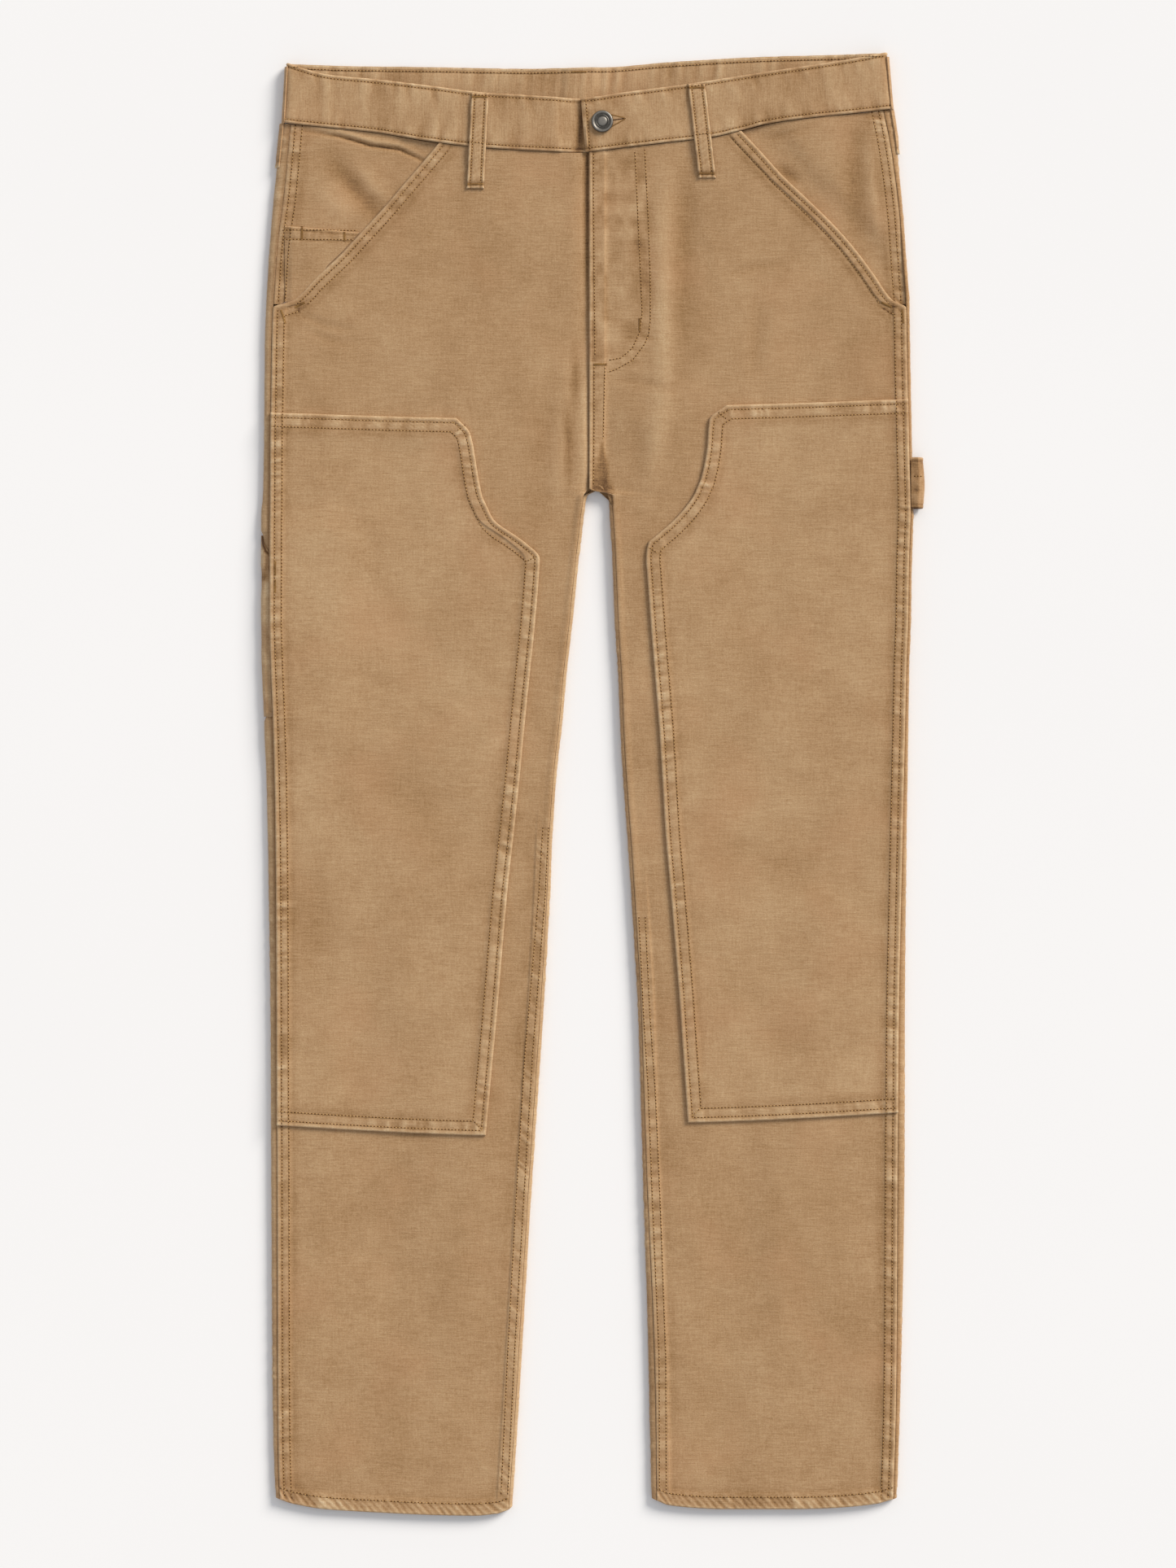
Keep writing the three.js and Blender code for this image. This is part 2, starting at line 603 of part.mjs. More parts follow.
// Coin pocket on the right facing, from the side seam band to the mouth of the big pocket
function coinPocket(facingTop) {
  const rows = 6;
  const columns = 7;
  const under = [];
  for (let i = 0; i <= rows; i += 1) {
    const line = lerp(COIN.top, COIN.bottom, i / rows);
    const end = mouthX(RIGHT, line) - 1.2;
    const row = [];
    for (let j = 0; j <= columns; j += 1) {
      const x = lerp(COIN.side, Math.max(end, COIN.side + 2), j / columns);
      const y = levelY(RIGHT, line, x);
      row.push([x, y, gridHeight(facingTop, x, y) + LOOSE_GAP]);
    }
    under.push(row);
  }
  wallMesh('coin_pocket', lowered(under, -POCKET_CLOTH), under, FACING_DUCK);
}

// Half round side from a seam edge on top, round the outline, down to the flat underside
const ARC_STEPS = 2;
const FLAT_START = 4.5;
function sideArc(seamX, outlineX, topZ, inset) {
  const out = Math.sign(outlineX - seamX);
  const middle = topZ / 2;
  const reach = Math.abs(outlineX - seamX) - inset;
  const points = [];
  for (let k = 0; k <= ARC_STEPS; k += 1) {
    const turn = (k / ARC_STEPS) * Math.PI / 2;
    points.push([seamX + out * reach * Math.sin(turn), middle + (middle - inset) * Math.cos(turn)]);
  }
  for (let k = 1; k <= ARC_STEPS; k += 1) {
    const turn = (k / ARC_STEPS) * Math.PI / 2;
    const x = outlineX - out * FLAT_START + out * (FLAT_START - inset) * Math.cos(turn);
    points.push([x, middle - (middle - inset) * Math.sin(turn)]);
  }
  return points;
}

// Section of a back panel on one level line: side wrap, flat underside, inseam wrap or centre seam
function backSection(leg, line, depth) {
  const s = leg.inward;
  const inPocket = leg.underlap && line <= TOOL.top + 0.01 && line >= TOOL.bottom - 0.01;
  const room = inPocket ? TOOL_ROOM : 0;
  const seamX = legValue(leg, line, 'seam') - s * GAP / 2;
  const outline = legValue(leg, line, 'outline');
  const seamZ = frontTop(leg, seamX + s * GAP / 2, line);
  const side = sideArc(seamX, outline, seamZ, room + depth);
  const inseam = meetEdge(leg, line, (y) => legValue(leg, y, 'inner') - s * legValue(leg, y, 'wrap'));
  const innerY = levelY(leg, line, inseam);
  const innerOutline = legValue(leg, innerY, 'inner');
  const flatFrom = outline + s * FLAT_START;
  const turning = innerY < CROTCH_Y;
  const flatTo = turning ? innerOutline - s * FLAT_START : CENTRE_BACK_X - s * FLAT_START;
  const flat = [];
  if (leg.underlap) {
    flat.push([TOOL.inner, room + depth], [TOOL.inner + 1.5, depth]);
    for (let k = 1; k <= 2; k += 1) flat.push([lerp(TOOL.inner + 1.5, flatTo, k / 3), depth]);
  } else {
    for (let k = 1; k <= 3; k += 1) flat.push([lerp(flatFrom, flatTo, k / 4), depth]);
  }
  let inner;
  if (turning) {
    const rising = smoothstep(CROTCH_Y - innerY, 0, CROTCH_RISE);
    const inseamZ = lerp(CROTCH_TOP_Z, frontTop(leg, inseam, innerY), rising);
    inner = sideArc(inseam + s * GAP / 2, innerOutline, inseamZ, depth).reverse();
  } else {
    const edge = CENTRE_BACK_X - s * GAP / 2;
    inner = [];
    for (let k = 0; k <= 2 * ARC_STEPS; k += 1) {
      const share = k / (2 * ARC_STEPS);
      if (depth > 0) inner.push([lerp(flatTo, edge, share), depth]);
      else inner.push([share === 0 ? flatTo : edge, share * CLOTH / 2]);
    }
  }
  return [...side, ...flat, ...inner].map(([x, z], j) => {
    const waistKey = j <= ARC_STEPS ? 'frontBottom' : 'backTop';
    return [x, levelY(leg, line, x, waistKey), z];
  });
}

function backPanel(leg) {
  const lines = levelLines(leg);
  const outer = lines.map((line) => backSection(leg, line, 0));
  const inner = lines.map((line) => backSection(leg, line, CLOTH));
  wallMesh(`back_panel_${leg.name}`, outer, inner, DUCK);
}

// Tool pocket round the side and on the back of the right leg, with a slanted mouth
function toolPocket() {
  const inPocket = (line) => line <= TOOL.top + 0.01 && line >= TOOL.bottom - 0.01;
  const lines = levelLines(RIGHT).filter(inPocket);
  const section = (line, depth) => {
    const seamX = legValue(RIGHT, line, 'seam') - GAP / 2;
    const outline = legValue(RIGHT, line, 'outline');
    const seamZ = frontTop(RIGHT, seamX + GAP / 2, line);
    const points = sideArc(seamX, outline, seamZ, depth);
    const end = TOOL.inner - GAP;
    for (let k = 1; k <= 2; k += 1) points.push([lerp(outline + FLAT_START, end, k / 2), depth]);
    const slanted = smoothstep(line, TOOL.top - MOUTH_SLANT_DEPTH, TOOL.top);
    return points.map(([x, z], j) => {
      const towardsSeam = Math.max(0, 1 - j / ARC_STEPS);
      return [x, levelY(RIGHT, line, x, 'backTop') - TOOL.slant * slanted * towardsSeam, z];
    });
  };
  const outer = lines.map((line) => section(line, 0));
  const inner = lines.map((line) => section(line, POCKET_CLOTH));
  wallMesh('tool_pocket', outer, inner, DUCK);
}

// Heights of the waistband's top face on its two ends
const BAND_TOP = 8.2;
const LAP_TOP = 8.6;
const UNDER_TOP = 5.9;
const FOLD_REACH = 4.5;
const bandTop = (x, over) => {
  if (over) return lerp(LAP_TOP, BAND_TOP, smoothstep(x, 45, 80));
  return lerp(UNDER_TOP, BAND_TOP, smoothstep(-x, 13, 30));
};

const leaned = (x, v) => x * (1 - v * (x < 0 ? RIGHT_LEAN : LEFT_LEAN));

// Waistband: one strip from the underlap, round by the back, to the lap over the fly
function waistband() {
  const underX = [26, 8, -7, -13, -21, -30, -60, -88, -127, -167, -205];
  const backX = [-190, -125, -50, -18.6, -17, -3.6, -2, 60, 130, 190];
  const overX = [200, 170, 134, 114, 93, 74, 55, 30, 18, 4];
  const lapLean = (v) => lerp(-5.7, -9.4, v);
  const heights = [0, 0.04, 0.5, 0.96, 1];
  const rounding = [0.7, 0, 0, 0, 0.7];
  const softened = (z, soft) => (z > BAND_TOP / 2 ? z - soft : z + soft);
  const station = (x, v, share, z) => {
    const at = clamp(x, RIGHT_FOLD_X, LEFT_FOLD_X);
    const bottom = lerp(waistValue(at, 'backTop') - BAND_HEIGHT, waistValue(at, 'frontBottom'), share);
    const top = lerp(waistValue(at, 'backTop'), waistValue(at, 'frontTop'), share);
    return [leaned(x, v), lerp(bottom, top, v), z];
  };
  const face = (v, depth, soft) => {
    const row = [];
    for (const x of underX) row.push(station(x, v, 1, bandTop(x, false) - depth));
    const foldSteps = 5;
    const fold = (endX, sign, fromTop) => {
      for (let k = 0; k <= foldSteps; k += 1) {
        const turn = (fromTop ? k : foldSteps - k) / foldSteps * Math.PI;
        const x = endX - sign * FOLD_REACH + sign * (FOLD_REACH - depth) * Math.sin(turn);
        const z = BAND_TOP / 2 + (BAND_TOP / 2 - depth) * Math.cos(turn);
        row.push(station(x, v, (1 + Math.cos(turn)) / 2, z));
      }
    };
    fold(RIGHT_FOLD_X, -1, true);
    for (const x of backX) {
      const overLoop = Math.abs(x - BACK_LOOP_X) < 7 ? POCKET_CLOTH + GAP : 0;
      row.push(station(x, v, 0, depth + overLoop));
    }
    fold(LEFT_FOLD_X, 1, false);
    for (const x of overX) row.push(station(x, v, 1, bandTop(x, true) - depth));
    const lapX = lapLean(v);
    const last = station(lapX, v, 1, LAP_TOP - depth);
    last[0] = lapX;
    row.push(last);
    return row.map(([x, y, z]) => [x, y, softened(z, soft)]);
  };
  const outer = heights.map((v, i) => face(v, 0, rounding[i]));
  const inner = heights.map((v) => face(v, BAND, 0));
  const mesh = wallMesh('waistband', outer, inner, DUCK);
  mesh.geometry = cutButtonhole(mesh.geometry);
}

function toManifold(geometry) {
  const plain = geometry.clone();
  plain.deleteAttribute('normal');
  plain.deleteAttribute('uv');
  const merged = mergeVertices(plain, 1e-4);
  return new wasm.Manifold(new wasm.Mesh({
    numProp: 3,
    vertProperties: new Float32Array(merged.attributes.position.array),
    triVerts: new Uint32Array(merged.index.array),
  }));
}

// Keyhole buttonhole through the lap alone
function cutButtonhole(geometry) {
  const slot = new THREE.Shape();
  const half = BUTTON.slit / 2;
  const open = Math.asin(half / BUTTON.eye);
  slot.moveTo(BUTTON.hole, -half);
  slot.lineTo(BUTTON.hole, half);
  slot.absarc(0, 0, BUTTON.eye, open, 2 * Math.PI - open, false);
  slot.closePath();
  const cutter = new THREE.ExtrudeGeometry(slot, { depth: 4, bevelEnabled: false, curveSegments: 12 });
  cutter.rotateZ(BUTTON.tilt);
  cutter.translate(BUTTON.x, BUTTON.y, UNDER_TOP + GAP / 2);
  const cut = toManifold(geometry).subtract(toManifold(cutter)).getMesh();
  const result = new THREE.BufferGeometry();
  result.setAttribute('position', new THREE.Float32BufferAttribute(cut.vertProperties, 3));
  result.setIndex(Array.from(cut.triVerts));
  result.computeVertexNormals();
  return result;
}

// Shank button with a raised rim and a domed middle, its shank down to the underlap
function button() {
  const seat = LAP_TOP + GAP;
  const r = BUTTON.radius;
  const profile = [
    [0, UNDER_TOP + GAP], [BUTTON.shank, UNDER_TOP + GAP], [BUTTON.shank, seat], [r - 0.6, seat],
    [r, seat + 0.6], [r, seat + 1.7], [r - 0.7, seat + 2.4], [r - 1.7, seat + 2.4], [r - 2.3, seat + 1.8],
    [r - 3.9, seat + 1.8], [r - 4.4, seat + 2.2], [r - 6, seat + 2.5], [0, seat + 2.6],
  ].map(([radius, z]) => new THREE.Vector2(radius, z));
  const geometry = new THREE.LatheGeometry(profile, 30);
  geometry.rotateX(Math.PI / 2);
  geometry.translate(BUTTON.x, BUTTON.y, 0);
  geometry.deleteAttribute('uv');
  geometry.deleteAttribute('normal');
  addMesh('waist_button', mergeVertices(geometry, 1e-4), PEWTER);
}

// Front belt loop from the band's top edge to the panel below, in rows along the strap
function frontLoop({ name, top, bottom }) {
  const leg = top[0] < 0 ? RIGHT : LEFT;
  const bandEdge = waistValue(top[0], 'frontBottom');
  const bandShare = (top[1] - bandEdge) / (top[1] - bottom[1]);
  const shares = [0, 0.03, bandShare * 0.5, bandShare, lerp(bandShare, 1, 0.5), 0.96, 1];
  const across = [-LOOP_WIDTH / 2, 1 - LOOP_WIDTH / 2, LOOP_WIDTH / 2 - 1, LOOP_WIDTH / 2];
  const onBand = bandTop(top[0], top[0] > 0) + LOOSE_GAP;
  const footZ = frontTop(leg, bottom[0], bottom[1]) + LOOSE_GAP;
  const under = shares.map((share) => {
    const x = lerp(top[0], bottom[0], share);
    const y = lerp(top[1], bottom[1], share);
    const fall = smoothstep(share, bandShare + 0.02, 0.96);
    return across.map((offset) => [x + offset, y, lerp(onBand, footZ, fall)]);
  });
  const edgeSoft = 0.5;
  const topFace = under.map((row, i) => row.map(([x, y, z], j) => {
    const edge = j === 0 || j === across.length - 1 || i === 0 || i === shares.length - 1;
    return [x, y, z + STRAP - (edge ? edgeSoft : 0)];
  }));
  wallMesh(name, topFace, under, DUCK);
}

// Side belt loop, bent round the fold of the band and down the wrap of the back panel
function sideLoop(leg) {
  const sign = -leg.inward;
  const endX = leg === RIGHT ? RIGHT_FOLD_X : LEFT_FOLD_X;
  const topEdge = leg === RIGHT ? 551 : 558.5;
  const bandEdge = leg.waistY;
  const footY = bandEdge - SIDE_LOOP_BELOW;
  const lines = levelLines(leg);
  const onPanel = (y, value) => {
    const i = lines.findIndex((line) => line <= y) - 1;
    return lerp(value(lines[i]), value(lines[i + 1]), (lines[i] - y) / (lines[i] - lines[i + 1]));
  };
  const halfway = lerp(topEdge, bandEdge, 0.5);
  const stations = [topEdge, halfway, bandEdge, bandEdge - 0.4, bandEdge - 5, lines[1], footY];
  const low = THREE.MathUtils.degToRad(38);
  const high = THREE.MathUtils.degToRad(48);
  const section = (y, depth) => {
    const onBand = y >= bandEdge;
    const v = clamp((y - bandEdge) / BAND_HEIGHT, 0, 1);
    const foldX = leaned(endX, v);
    const outline = onBand ? foldX : onPanel(y, (line) => legValue(leg, line, 'outline'));
    const seamX = onBand ? foldX - sign * FOLD_REACH : onPanel(y, (line) => legValue(leg, line, 'seam'));
    const seamTop = (line) => frontTop(leg, legValue(leg, line, 'seam'), line);
    const topZ = onBand ? BAND_TOP : onPanel(y, seamTop);
    const middle = topZ / 2;
    const points = [];
    for (let k = 0; k <= 4; k += 1) {
      const turn = lerp(-low, high, k / 4);
      const reach = turn < 0 ? FLAT_START : Math.abs(outline - seamX);
      const centre = outline - sign * reach;
      const x = centre + sign * (reach + depth) * Math.cos(turn);
      points.push([x, y, Math.max(middle + (middle + depth) * Math.sin(turn), 0.05)]);
    }
    return points;
  };
  const outer = stations.map((y) => section(y, GAP + POCKET_CLOTH));
  const inner = stations.map((y) => section(y, GAP));
  wallMesh(`belt_loop_side_${leg.name}`, outer, inner, DUCK);
}

// Centre back loop, flat under the back of the band
function backLoop() {
  const half = LOOP_WIDTH / 2 - 0.3;
  const bandEdge = waistValue(BACK_LOOP_X, 'backTop') - BAND_HEIGHT;
  const ys = [bandEdge + BAND_HEIGHT - 2, bandEdge + BAND_HEIGHT / 2, bandEdge + 2];
  const top = ys.map((y) => [-half, half].map((offset) => [BACK_LOOP_X + offset, y, POCKET_CLOTH]));
  wallMesh('belt_loop_back', top, lowered(top, POCKET_CLOTH), DUCK);
}

// Hammer loop: a strap bowed out of the side seam and back to the leg beside the floor
function hammerLoop() {
  const middleY = (HAMMER.top + HAMMER.bottom) / 2;
  const seam = legValue(LEFT, HAMMER.bottom, 'seam');
  const side = legValue(LEFT, HAMMER.bottom, 'outline');
  const out = HAMMER.reach;
  const high = HAMMER.height;
  const outerPath = [
    [seam + 0.2, 8.2], [seam + 5.8, high], [out - 3, high - 1.3], [out - 0.6, 6],
    [out, 4], [out - 0.7, 1.8], [out - 2.6, 0.2], [out - 5, 0], [side + 0.4, 0],
  ];
  const innerPath = [
    [seam + 0.2, 6.7], [seam + 5.8, high - STRAP], [out - 3.9, high - 2.7], [out - 2.1, 5.4],
    [out - STRAP, 4], [out - 2.1, 2.5], [out - 3.1, 1.6], [out - 5, STRAP], [side + 0.4, STRAP],
  ];
  const stations = [HAMMER.top, middleY + 12, middleY, middleY - 12, HAMMER.bottom];
  const section = (path) => stations.map((y) => {
    const pinch = Math.abs(y - middleY) / (HAMMER.top - middleY) * 1.2;
    return path.map(([x, z]) => [x - pinch * smoothstep(x, seam + 2, out), y, z]);
  });
  wallMesh('hammer_loop', section(outerPath), section(innerPath), DUCK);
}

for (const leg of [RIGHT, LEFT]) {
  const panelTop = frontPanel(leg);
  kneePatch(leg, panelTop);
  backPanel(leg);
  sideLoop(leg);
  const facingTop = pocketFacing(leg);
  if (leg === RIGHT) coinPocket(facingTop);
}
toolPocket();
waistband();
button();
FRONT_LOOPS.forEach(frontLoop);
backLoop();
hammerLoop();

export default group;
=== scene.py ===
import math

import bpy
import numpy as np
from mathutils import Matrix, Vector
from mathutils.bvhtree import BVHTree


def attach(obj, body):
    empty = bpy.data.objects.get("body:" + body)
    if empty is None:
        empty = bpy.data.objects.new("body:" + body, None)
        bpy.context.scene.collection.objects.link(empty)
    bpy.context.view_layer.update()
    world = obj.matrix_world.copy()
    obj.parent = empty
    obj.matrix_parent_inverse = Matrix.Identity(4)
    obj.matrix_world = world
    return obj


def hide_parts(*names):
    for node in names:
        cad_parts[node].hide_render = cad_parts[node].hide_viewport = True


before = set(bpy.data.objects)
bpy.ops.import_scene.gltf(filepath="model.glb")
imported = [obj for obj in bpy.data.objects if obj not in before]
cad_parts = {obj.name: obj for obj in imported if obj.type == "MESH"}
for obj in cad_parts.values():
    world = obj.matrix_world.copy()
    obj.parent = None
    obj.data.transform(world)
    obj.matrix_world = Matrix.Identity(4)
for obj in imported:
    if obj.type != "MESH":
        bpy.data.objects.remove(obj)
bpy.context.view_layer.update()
bpy.ops.object.select_all(action="DESELECT")

MM = 0.001

# Camera
# It looks straight down on the pants, as a copy stand does, from so far that 1 pixel of
# the photograph's 1927 rows is 0.625 mm on the cloth.
PIXEL = 0.625
FRAME_ROWS = 1927
CLOTH_LEVEL = 6.5
LENS = 85
SENSOR = 36
CAMERA_X = -3.75


def placed(name, data):
    """A new object with that data, in the scene."""
    made = bpy.data.objects.new(name, data)
    bpy.context.scene.collection.objects.link(made)
    return made


camera_data = bpy.data.cameras.new("copy_stand")
camera_data.lens = LENS
camera_data.sensor_fit = "VERTICAL"
camera_data.sensor_height = SENSOR
camera = placed("copy_stand", camera_data)
camera_height = FRAME_ROWS * PIXEL * LENS / SENSOR + CLOTH_LEVEL
camera.location = (CAMERA_X * MM, 0, camera_height * MM)
bpy.context.scene.camera = camera
bpy.context.scene.view_settings.view_transform = "Standard"


# Table
# A wide sheet of matt white card, seamless, just under the cloth.
def linear(hex_colour):
    """An sRGB hex colour as the linear values that the shader takes."""
    parts = [int(hex_colour[k:k + 2], 16) / 255 for k in (1, 3, 5)]
    return [c / 12.92 if c <= 0.04045 else ((c + 0.055) / 1.055) ** 2.4 for c in parts] + [1]


def add(tree, kind, inputs, **settings):
    """Adds a shader node, with its settings, and its inputs as values, hex colours or links."""
    made = tree.nodes.new(kind)
    for name, value in settings.items():
        setattr(made, name, value)
    for name, value in inputs.items():
        if isinstance(value, bpy.types.NodeSocket):
            tree.links.new(value, made.inputs[name])
        else:
            made.inputs[name].default_value = linear(value) if isinstance(value, str) else value
    return made


def new_material(name, roughness, specular=0.5):
    """A material with its tree, its object coordinates and its shader."""
    material = bpy.data.materials.new(name)
    material.use_nodes = True
    tree = material.node_tree
    place = tree.nodes.new("ShaderNodeTexCoord").outputs["Object"]
    shader = tree.nodes["Principled BSDF"]
    shader.inputs["Roughness"].default_value = roughness
    shader.inputs["Specular IOR Level"].default_value = specular
    return material, tree, place, shader


def tinted(tree, shader, share, low, high):
    """Gives the shader a mix of two colours."""
    mix = add(tree, "ShaderNodeMix", {0: share, 6: low, 7: high}, data_type="RGBA")
    tree.links.new(mix.outputs[2], shader.inputs["Base Color"])


def white_card():
    """Matt card: an even, faintly warm white with no shine."""
    material, tree, place, shader = new_material("white_card", 0.9, 0.1)
    cloud = add(tree, "ShaderNodeTexNoise", {"Vector": place, "Scale": 3.0, "Detail": 2.0})
    tinted(tree, shader, cloud.outputs[0], "#F5F4F3", "#F8F7F6")
    return material


TABLE_SIZE = 8000
TABLE_DROP = 0.4
bpy.ops.mesh.primitive_plane_add(size=TABLE_SIZE * MM, location=(0, 0, -TABLE_DROP * MM))
table = bpy.context.object
table.name = "table"
table.data.materials.append(white_card())
table.select_set(False)

# Light
# A broad soft light at the upper right, far enough to be even, throws a soft short shadow to
# the lower left, and a white room lights the rest.
ROOM_LIGHT = 0.55
KEY_LIGHT = 3.42
KEY_SPREAD = 0.42
KEY_FROM = (0.64, 0.58, 0.44)

world = bpy.data.worlds.new("white_room")
world.use_nodes = True
world.node_tree.nodes["Background"].inputs["Color"].default_value = linear("#F8FAFF")
world.node_tree.nodes["Background"].inputs["Strength"].default_value = ROOM_LIGHT
bpy.context.scene.world = world
key_data = bpy.data.lights.new("key_light", "SUN")
key_data.energy = KEY_LIGHT
key_data.angle = KEY_SPREAD
key_data.color = linear("#FFFAF3")[:3]
key = placed("key_light", key_data)
key.rotation_euler = (-Vector(KEY_FROM)).to_track_quat("-Z", "Y").to_euler()


# Front panels
# Each is one piece of 12 ounce duck from waist to hem. Its side and pocket mouth are turned
# under and felled with two rows of stitches, and the wash has drawn those seams up in puckers.
WEFT = 1.0
WARP = 0.8
SLUB_LENGTH = 10
SLUB_WIDTH = 0.85
FADE_SIZE = 90
PANEL_CLOTH = 1.5
ROW_STEP = 1.5
WIDE_STEP = 8.0
STRIP_CUTS = [0, 0.03, 0.08, 0.15, 0.25, 0.36, 0.47, 0.58, 0.7, 0.82, 0.92]
STRIP_WIDTH = 13
EDGE_ROUND = 1.3
EDGE_DROP = 0.75
SHARP = 0.5
FINE_STEP = 0.8


def washed_duck(name, weft_along_y=False):
    """Plain-weave cotton duck after a garment wash: matt and a little fuzzy, with thick and thin weft
    threads across, clouds of fading, painted shade in hollows, and ridges lighter from wear and a painted
    highlight."""
    material, tree, place, shader = new_material(name, 0.94, 0.22)

    def noise(scale, detail, rough):
        mapped = add(tree, "ShaderNodeMapping", {"Vector": place, "Scale": scale})
        made = add(tree, "ShaderNodeTexNoise", {"Vector": mapped.outputs[0], "Scale": 1.0,
                                                "Detail": detail, "Roughness": rough})
        return made.outputs[0]

    def maths(kind, a, b):
        return add(tree, "ShaderNodeMath", {0: a, 1: b}, operation=kind).outputs[0]

    per_metre = 1 / MM
    across_x = (per_metre / SLUB_LENGTH, per_metre / SLUB_WIDTH, 60)
    along_y = (per_metre / SLUB_WIDTH, per_metre / SLUB_LENGTH, 60)
    weft_slubs = noise(along_y if weft_along_y else across_x, 3.0, 0.6)
    warp_slubs = noise(across_x if weft_along_y else along_y, 2.0, 0.5)
    heather = noise((per_metre / 1.3,) * 3, 3.0, 0.7)
    clouds = noise((per_metre / FADE_SIZE,) * 3, 4.0, 0.55)
    patches = noise((per_metre / 24,) * 3, 2.0, 0.5)
    tone = maths("MULTIPLY_ADD", weft_slubs, 0.4)
    tone.node.inputs[2].default_value = -0.2
    for value, weight in ((warp_slubs, 0.2), (heather, 0.5), (clouds, 0.26), (patches, 0.2)):
        share = maths("MULTIPLY_ADD", value, weight)
        share.node.inputs[2].default_value = -weight / 2
        tone = maths("ADD", tone, share)
    # Each point's stored shift of tone: real wear that lightens rubbed edges and ridges, and painted shade
    # and painted highlight that darken hollows, dents, creases and gaps and lighten ridges.
    wear_and_painted_light = add(tree, "ShaderNodeAttribute", {}, attribute_name="wear_and_painted_light").outputs["Fac"]
    tone = maths("ADD", tone, maths("MULTIPLY", wear_and_painted_light, 0.55))
    tone = maths("ADD", tone, 0.5)
    ramp = tree.nodes.new("ShaderNodeValToRGB")
    stops = ramp.color_ramp.elements
    stops[0].position, stops[0].color = 0.0, linear("#5C3F25")
    stops[1].position, stops[1].color = 1.0, linear("#DDC39C")
    for position, colour in ((0.3, "#99754D"), (0.5, "#AF8B64"), (0.7, "#C1A078")):
        stops.new(position).color = linear(colour)
    tree.links.new(tone, ramp.inputs[0])
    dye = noise((per_metre / 70,) * 3, 3.0, 0.5)
    dye_share = add(tree, "ShaderNodeMapRange", {0: dye, 1: 0.52, 2: 0.72, 3: 0.0, 4: 0.22})
    tinted(tree, shader, dye_share.outputs[0], ramp.outputs[0], "#BE8E66")

    axes = add(tree, "ShaderNodeSeparateXYZ", {0: place}).outputs
    across = maths("SINE", maths("MULTIPLY", axes[0], 2 * math.pi * per_metre / WARP), 0)
    along = maths("SINE", maths("MULTIPLY", axes[1], 2 * math.pi * per_metre / WEFT), 0)
    weave = maths("MULTIPLY", across, along)
    height = maths("ADD", maths("MULTIPLY", weave, 0.35), maths("MULTIPLY", weft_slubs, 1.2))
    height = maths("ADD", height, maths("MULTIPLY", heather, 0.9))
    bump = add(tree, "ShaderNodeBump", {"Strength": 0.6, "Distance": 0.24 * MM, "Height": height})
    tree.links.new(bump.outputs[0], shader.inputs["Normal"])
    shader.inputs["Sheen Weight"].default_value = 0.18
    shader.inputs["Sheen Roughness"].default_value = 0.5
    return material


duck = washed_duck("washed_duck")
duck_on_end = washed_duck("washed_duck_on_end", weft_along_y=True)


def wander(u, seed):
    """Smooth random values from -1 to 1, with a new one at each whole step of u."""
    values = np.random.default_rng(seed).uniform(-1, 1, 4096)
    step = np.floor(u).astype(int)
    share = u - step
    share = share * share * (3 - 2 * share)
    return values[step % 4096] * (1 - share) + values[(step + 1) % 4096] * share


def wander_over(u, v, seed):
    """Smooth random values from -1 to 1 over a plane."""
    values = np.random.default_rng(seed).uniform(-1, 1, (256, 256))
    i, j = np.floor(u).astype(int), np.floor(v).astype(int)
    a, b = u - i, v - j
    a, b = a * a * (3 - 2 * a), b * b * (3 - 2 * b)
    i, j, i1, j1 = i % 256, j % 256, (i + 1) % 256, (j + 1) % 256
    low = values[i, j] * (1 - a) + values[i1, j] * a
    return low * (1 - b) + (values[i, j1] * (1 - a) + values[i1, j1] * a) * b


def bell(value, width):
    """1 where the value is 0, falling smoothly on both sides over about that width."""
    return np.exp(-(value / width) ** 2)


def fade(value, start, end):
    """0 before start, 1 after end, and smooth between them."""
    share = np.clip((value - start) / (end - start), 0, 1)
    return share * share * (3 - 2 * share)


def outer_side(node, outward=None):
    """The wall's points and triangles, which triangles are on the side that looks outward, or
    else on its larger side, and the neighbours along that side's border."""
    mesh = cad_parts[node].data
    co = np.empty(len(mesh.vertices) * 3)
    mesh.vertices.foreach_get("co", co)
    points, index = np.unique(np.round(co.reshape(-1, 3) / MM, 3), axis=0, return_inverse=True)
    index = index.ravel()
    triangles = [tuple(int(index[v]) for v in face.vertices) for face in mesh.polygons]
    corners = points[np.array(triangles)]
    crosses = np.cross(corners[:, 1] - corners[:, 0], corners[:, 2] - corners[:, 0])
    areas = np.linalg.norm(crosses, axis=1)
    normals = crosses / np.maximum(areas, 1e-9)[:, None]
    owner = {}
    for k, (a, b, c) in enumerate(triangles):
        owner[a, b] = owner[b, c] = owner[c, a] = k
    left = set(range(len(triangles)))
    best, best_score = None, -1e9
    while left:
        waiting, region = [left.pop()], []
        while waiting:
            k = waiting.pop()
            region.append(k)
            a, b, c = triangles[k]
            for p, q in ((a, b), (b, c), (c, a)):
                other = owner.get((q, p))
                if other in left and normals[k] @ normals[other] > SHARP:
                    left.discard(other)
                    waiting.append(other)
        score = areas[region].sum() if outward is None else crosses[region].sum(axis=0) @ outward
        if score > best_score:
            best, best_score = region, score
    link = {}
    chosen = set(best)
    for k in best:
        a, b, c = triangles[k]
        for p, q in ((a, b), (b, c), (c, a)):
            if owner.get((q, p)) not in chosen:
                link.setdefault(p, []).append(q)
                link.setdefault(q, []).append(p)
    return points, triangles, best, link


